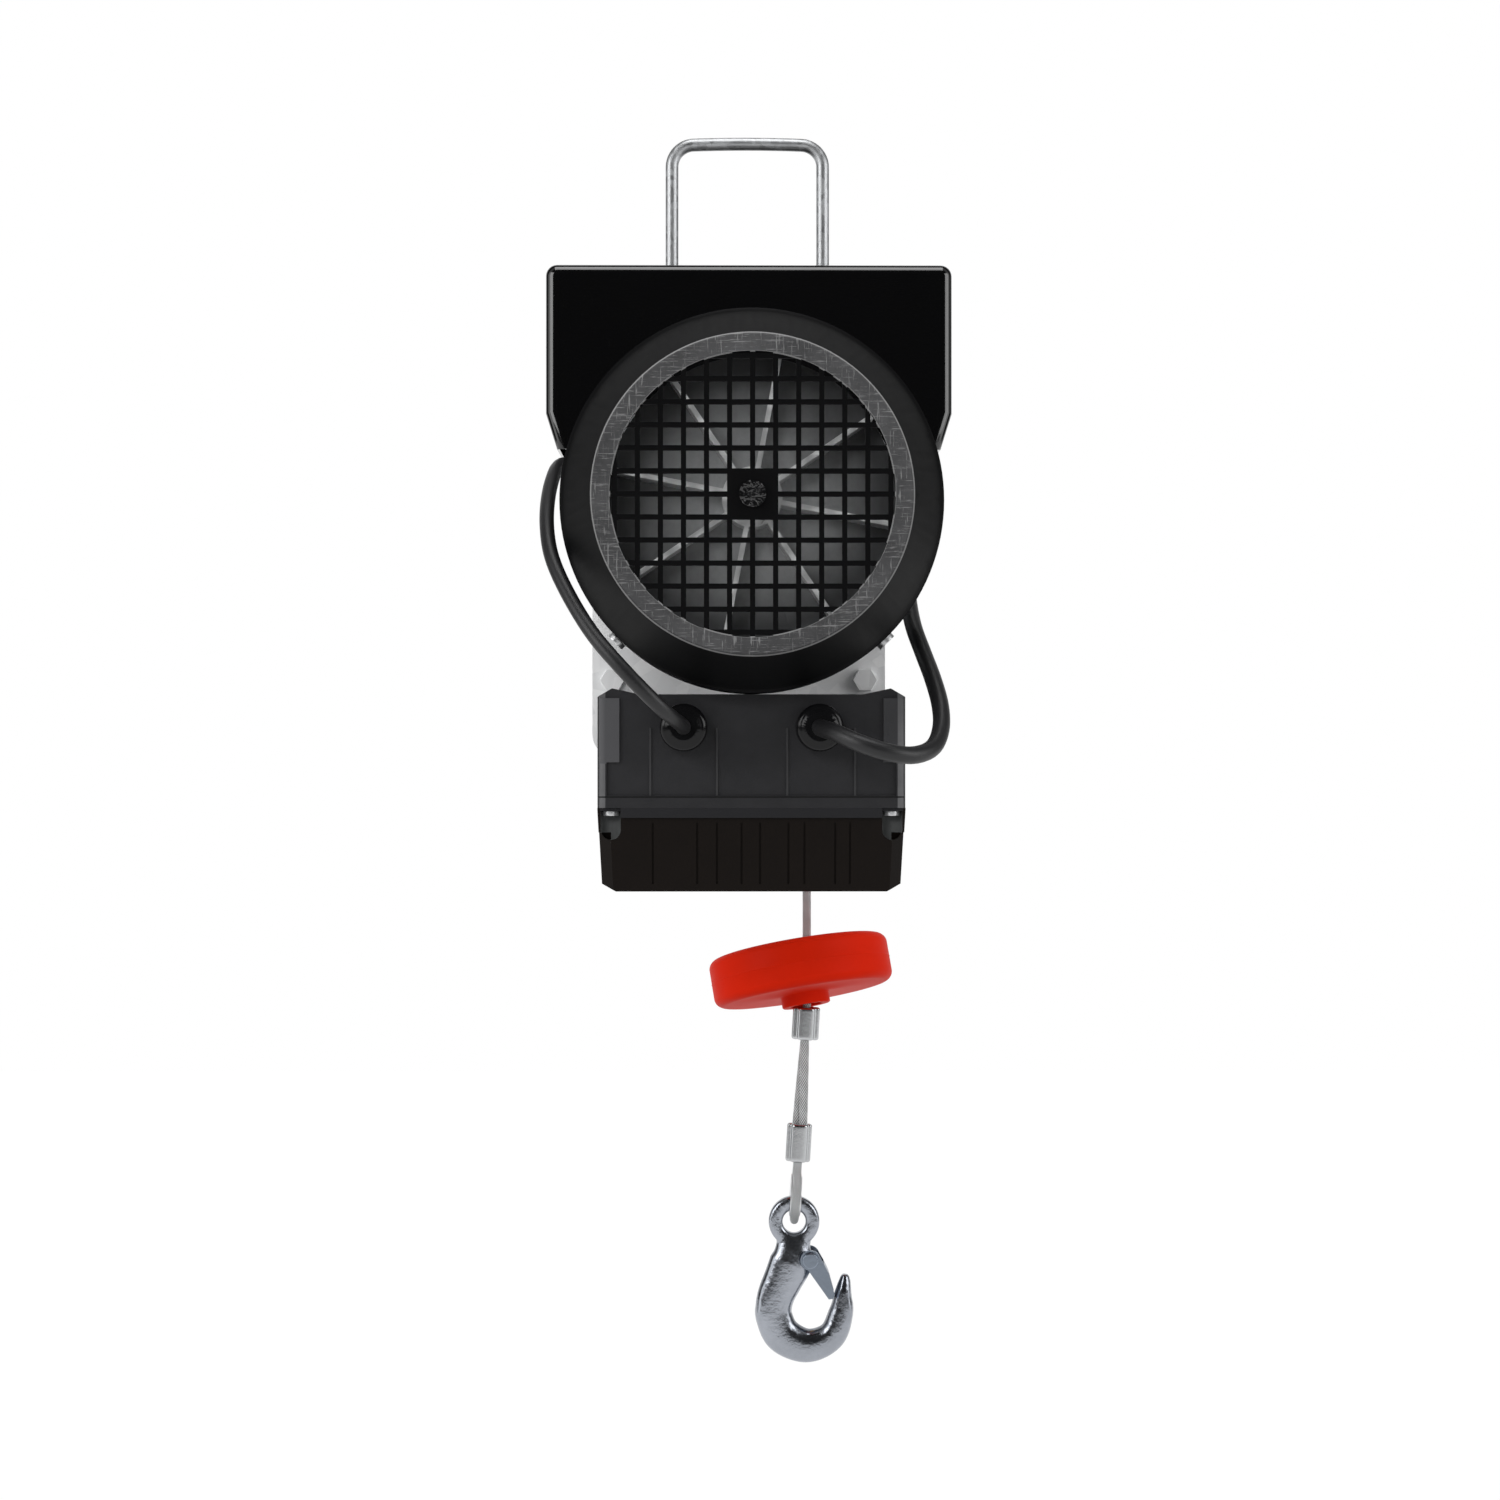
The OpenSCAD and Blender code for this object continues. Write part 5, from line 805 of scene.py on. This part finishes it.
# %% Strap
strap_tape = finish("strap_tape", (0.016, 0.016, 0.018), 0.8, scale=2500, tint=0.4, depth=0.0002,
                    stretch=(1, 1, 3))
corners = rounded([[-10.1, -15.9], [10.1, -15.9], [10.1, 15.9], [-10.1, 15.9]], 4.0, 6)
loop = np.stack([0 * corners[:, 0] - 36.0, corners[:, 0] + 137.8, corners[:, 1] - 72.7], -1) * MM
tape = rounded([[-0.6, -6], [0.6, -6], [0.6, 6], [-0.6, 6]], 0.3, 2) * MM
tongue = np.stack([np.full(12, -36.0), np.full(12, 149.0), np.linspace(-83, -63, 12)], -1) * MM
piece("coil_strap", [carried(tape, loop, (1, 0, 0), loop=True), carried(tape, tongue, (1, 0, 0))], strap_tape,
      "frame", ["cable_strap"])
print("strap round the coil, m:", round(length_of(loop), 3))

# %% [markdown]
# ## Finishes that know where they are
# The fan cover's flat front ring is rubbed paler than its matt skirt, with whitish scratches
# from being set down on its face. Thin pale lines along the ring's two edges are a painted
# highlight, partly edge wear. The finish finds the ring by its distance from the motor's
# axis, so no image texture is needed.

# %% Places inside a finish
def place_of(made):
    """A finish's tree, its object coordinates together and apart, its shader and its plain colour."""
    tree = made.node_tree
    where = next(n for n in tree.nodes if n.bl_idname == "ShaderNodeTexCoord").outputs["Object"]
    bsdf = next(n for n in tree.nodes if n.bl_idname == "ShaderNodeBsdfPrincipled")
    at = add(tree, "SeparateXYZ", {0: where}).outputs
    return tree, where, (at["X"], at["Y"], at["Z"]), bsdf, bsdf.inputs["Base Color"].links[0].from_socket


def zone(tree, *tests):
    """1 where every value lies between its two limits, else 0. A limit of None is left open."""
    mask = 1.0
    for value, low, high in tests:
        for limit, test in ((low, "GREATER_THAN"), (high, "LESS_THAN")):
            if limit is not None:
                mask = sums(tree, "MULTIPLY", mask, sums(tree, test, value, limit))
    return mask


def off_axis(tree, x, z):
    """Distance from the motor's axis: the root of x squared plus the height over the axis squared."""
    height = sums(tree, "SUBTRACT", z, AXIS_Z * MM)
    return sums(tree, "SQRT", sums(tree, "MULTIPLY_ADD", height, height, sums(tree, "MULTIPLY", x, x)))


def effect_at(tree, group, where, **values):
    """The first output of an effect that is laid out by where and has these values for its inputs."""
    return add(tree, "Group", {"Vector": where, **values}, node_tree=group).outputs[0]


print("limits of zones are in m, and the motor's axis is at z", round(AXIS_Z * MM, 3))

# %% The rubbed ring
RING_Y, WALL_Y, NUB_Y, RING_R, NUB_R = -0.2318, -0.23243, -0.2325, 0.0556, 0.0072
WHITE_SCRATCH_AND_HIGHLIGHT = (0.3, 0.3, 0.3, 1)
tree, where, (x, y, z), bsdf, plain = place_of(cover_plastic)
reach = off_axis(tree, x, z)
on_ring = zone(tree, (y, None, RING_Y), (reach, RING_R, None))
rubbed = effect_at(tree, grain, where, Scale=500)
pale_ring = mixed(tree, rubbed, (0.012, 0.012, 0.0125, 1), (0.115, 0.115, 0.118, 1))
marks = sums(tree, "MULTIPLY", effect_at(tree, scratches, where, Scale=90, Amount=0.75), 0.6)
# painted highlight: thin pale lines along the ring's two edges, partly edge wear, in the scratches' whitish
# colour
rims = [zone(tree, (reach, r - 0.0003, r + 0.0002)) for r in (0.0559, 0.0633)]
rim_highlight_and_wear = sums(tree, "MULTIPLY", sums(tree, "MAXIMUM", *rims), 0.7)
pale_ring = mixed(tree, rim_highlight_and_wear, mixed(tree, marks, pale_ring, WHITE_SCRATCH_AND_HIGHLIGHT), WHITE_SCRATCH_AND_HIGHLIGHT)
walls = zone(tree, (y, WALL_Y, None), (reach, None, RING_R))
tone = mixed(tree, walls, mixed(tree, on_ring, plain, pale_ring), (0.05, 0.05, 0.051, 1))
tree.links.new(tone, bsdf.inputs["Base Color"])

nub = zone(tree, (reach, None, NUB_R), (y, None, NUB_Y))
height = sums(tree, "MULTIPLY", noise(tree, where, 420.0, 2.0), nub)
under = bsdf.inputs["Normal"].links[0].from_socket
melted = add(tree, "Bump", {"Strength": 1.0, "Distance": 0.0016, "Height": height, "Normal": under})
tree.links.new(melted.outputs[0], bsdf.inputs["Normal"])
dull = bsdf.inputs["Roughness"].links[0].from_socket
tree.links.new(add(tree, "Mix", {0: nub, 2: dull, 3: 0.14}).outputs[0], bsdf.inputs["Roughness"])
tree.links.new(sums(tree, "MULTIPLY_ADD", nub, 0.6, 0.07), bsdf.inputs["Specular IOR Level"])
print("front ring from", round(RING_R / MM, 1), "mm off the axis, nub up to", round(NUB_R / MM, 1))

# %% [markdown]
# The fan's back plate between its pale blades is painted darker, a painted shade with a grain, and
# its grey falls off with the distance from the axis, so that it is darkest near the rim.

# %% The fan's back plate
FAN_PLATE, HUB_R, RIM_R = 0.0024, 0.018, 0.052
tree, where, (x, y, z), bsdf, plain = place_of(fan_plastic)
plate = zone(tree, (y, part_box("cooling_fan")[1].y - FAN_PLATE, None))
# painted shade: the back plate darkens from pale at the hub to dark grey at the rim
near_rim = ramp(tree, off_axis(tree, x, z), HUB_R, RIM_R)
shade_towards_rim = mixed(tree, near_rim, (0.95, 0.97, 0.98, 1), (0.15, 0.155, 0.16, 1))
grain_and_shade = mixed(tree, effect_at(tree, grain, where, Scale=260), (0.08, 0.08, 0.082, 1), shade_towards_rim)
tree.links.new(mixed(tree, plate, plain, grain_and_shade), bsdf.inputs["Base Color"])
print("back plate, mm thick:", FAN_PLATE / MM)

# %% [markdown]
# The box's posts and hairline ribs are paler, and a pale strip down each rounded front corner is a
# painted highlight. Below the seam the lid carries a strip in the box's own grey over its painted
# shade, and its screw wells, where the lid is cut away, are painted light, paler still.

# %% Paler posts and painted corner highlights of the box
POST_X, FACE_Y = 0.0532, -0.1903
tree, where, (x, y, z), bsdf, plain = place_of(box_plastic)
side = sums(tree, "ABSOLUTE", x)
post = zone(tree, (side, POST_X, None), (y, None, FACE_Y), (z, -0.2205, None))
# painted highlight: a pale strip down each rounded front corner
corner = zone(tree, (side, 0.0592, 0.0617), (y, None, -0.1872))
left = sums(tree, "MULTIPLY", post, zone(tree, (x, None, -POST_X)))
ribs = zone(tree, (y, -0.1908, -0.1904), (side, None, 0.0525))
seam = zone(tree, (z, -0.23435, -0.23375), (y, None, -0.1885))
highlight_grain = effect_at(tree, grain, where, Scale=300)
pale = mixed(tree, highlight_grain, (0.05, 0.05, 0.053, 1), (0.2, 0.2, 0.205, 1))
tone = plain
for mask, colour in ((post, (0.045, 0.045, 0.048, 1)), (corner, pale), (left, (0.08, 0.08, 0.085, 1)),
                     (ribs, (0.04, 0.04, 0.042, 1)), (seam, (0.001, 0.001, 0.001, 1))):
    tone = mixed(tree, mask, tone, colour)
tree.links.new(tone, bsdf.inputs["Base Color"])
print("nodes in the box's finish:", len(tree.nodes))

# %% Grey strip and painted light in the wells of the lid
tree, where, (x, y, z), bsdf, plain = place_of(lid_plastic_painted_shade)
side = sums(tree, "ABSOLUTE", x)
strip = zone(tree, (y, None, FACE_Y), (z, -0.243, None))
roof = zone(tree, (side, 0.0528, 0.0614), (z, -0.2399, None))
# painted light: the screw wells are paler than the box's own grey
well = zone(tree, (side, 0.0528, 0.0614), (z, -0.2525, None), (y, -0.1888, None))
outer_foot = zone(tree, (side, 0.0572, None), (z, None, -0.2486))
well = sums(tree, "MULTIPLY", well, sums(tree, "SUBTRACT", 1.0, outer_foot))
tone = mixed(tree, sums(tree, "MAXIMUM", strip, roof), plain, (0.021, 0.021, 0.023, 1))
tree.links.new(mixed(tree, well, tone, (0.14, 0.145, 0.145, 1)), bsdf.inputs["Base Color"])
print("nodes in the lid's finish:", len(tree.nodes))

# %% [markdown]
# ## Every other solid
# The rest keeps the exact solids' shape. A solid's own mesh is loose triangles with perfectly
# sharp edges, and real edges catch light. So each one that shows is copied, its triangles are
# joined into flat faces, and its sharp edges get a small bevel: 0.2 mm on sheet, more on
# castings and mouldings. The hood is sheet too, bent round its ends, so its bends are rounded
# as wide as they are on the real sheet. Solids inside housings only get their finish.

# %% Rounded copies
HOOD_SIDE, HOOD_TOP, BEND_R = 0.0835, -0.0055, 0.0047


def hood_bends(bm):
    """The outer edges of the hood's two ends, at its sides and top: both their y reach the same end."""
    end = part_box("hood")[1].y - 0.0002
    at_end = [e for e in bm.edges if e.verts[0].co.y * e.verts[1].co.y > end ** 2]
    return [e for e in at_end if all(abs(v.co.x) > HOOD_SIDE or v.co.z > HOOD_TOP for v in e.verts)]


def dressed(node, skin, width, angle=28):
    """A copy of a solid with edges over an angle bevelled by a width in mm, the hood's bends first."""
    bm = bmesh.new()
    bm.from_mesh(cad[node].data)
    bmesh.ops.remove_doubles(bm, verts=bm.verts, dist=SAME_POINT)
    bmesh.ops.dissolve_limit(bm, angle_limit=math.radians(0.4), verts=bm.verts, edges=bm.edges)
    bmesh.ops.recalc_face_normals(bm, faces=bm.faces)
    if node == "hood":
        bmesh.ops.bevel(bm, geom=hood_bends(bm), offset=BEND_R, segments=6, profile=0.5, affect="EDGES",
                        clamp_overlap=False)
    sharp = [e for e in bm.edges if len(e.link_faces) == 2 and e.calc_face_angle(0) > math.radians(angle)]
    bmesh.ops.bevel(bm, geom=sharp, offset=width * MM, segments=2, profile=0.6, affect="EDGES",
                    clamp_overlap=True)
    name = node + "_rounded"
    obj = placed(name, bm, bpy.data.meshes.new(name), skin, body_of_node[node], [node], 60)
    even = obj.modifiers.new("even_shading", "WEIGHTED_NORMAL")
    even.keep_sharp = True
    return obj


shown = {
    "hood": (enamel, 0.5), "bridge_plate": (zinc_sheet, 0.3), "u_bolt_nuts": (zinc_bright, 0.3),
    "motor_side_plate": (zinc_sheet, 0.3), "gear_side_plate": (zinc_sheet, 0.3),
    "tie_rods": (zinc_sheet, 0.3), "plate_bolts": (zinc_sheet, 0.3), "motor_housing": (cast_alloy, 0.3),
    "motor_front_shield": (cast_alloy, 0.5), "fan_cover": (cover_plastic, 0.25),
    "fan_cover_screws": (zinc_bright, 0.3), "gearbox_housing": (cast_alloy, 0.8),
    "gearbox_cover": (cast_alloy, 0.8), "gearbox_screws": (zinc_bright, 0.3),
    "control_box": (box_plastic, 0.6), "box_lid": (lid_plastic_painted_shade, 0.5), "lid_screws": (zinc_bright, 0.3),
    "mains_gland": (gland_nylon, 0.25), "pendant_gland": (gland_nylon, 0.25),
    "limit_bracket": (zinc_sheet, 0.2), "limit_switch": (switch_plastic, 0.3),
    "limit_lever": (zinc_bright, 0.3), "lever_pin": (zinc_bright, 0.2), "cable_clips": (seal_rubber, 0.3),
    "handset_front": (yellow_plastic, 0.9), "handset_back": (yellow_plastic, 0.9),
    "handset_rocker": (black_plastic, 0.5), "handset_stop": (red_button, 0.5),
    "rope_drum": (drum_paint, 0.3), "cooling_fan": (fan_plastic, 0.2), "latch_rivet": (latch_zinc, 0.6),
    "hook_latch": (latch_zinc, 0.25),
}
inside = {
    "motor_fan_shield": cast_alloy, "stator_core": lamination, "stator_windings": copper,
    "motor_bearings": turned_steel, "drum_bearings": turned_steel, "run_capacitor": can_white,
    "motor_shaft": turned_steel, "rotor_core": lamination, "intermediate_shaft": gear_steel,
    "intermediate_gear": gear_steel, "output_gear": gear_steel, "limit_plunger": can_white,
    "lever_spring": turned_steel, "latch_spring": turned_steel,
}
for node, (skin_finish, width) in shown.items():
    dressed(node, skin_finish, width)
for node, skin_finish in inside.items():
    cad[node].data.materials.clear()
    cad[node].data.materials.append(skin_finish)
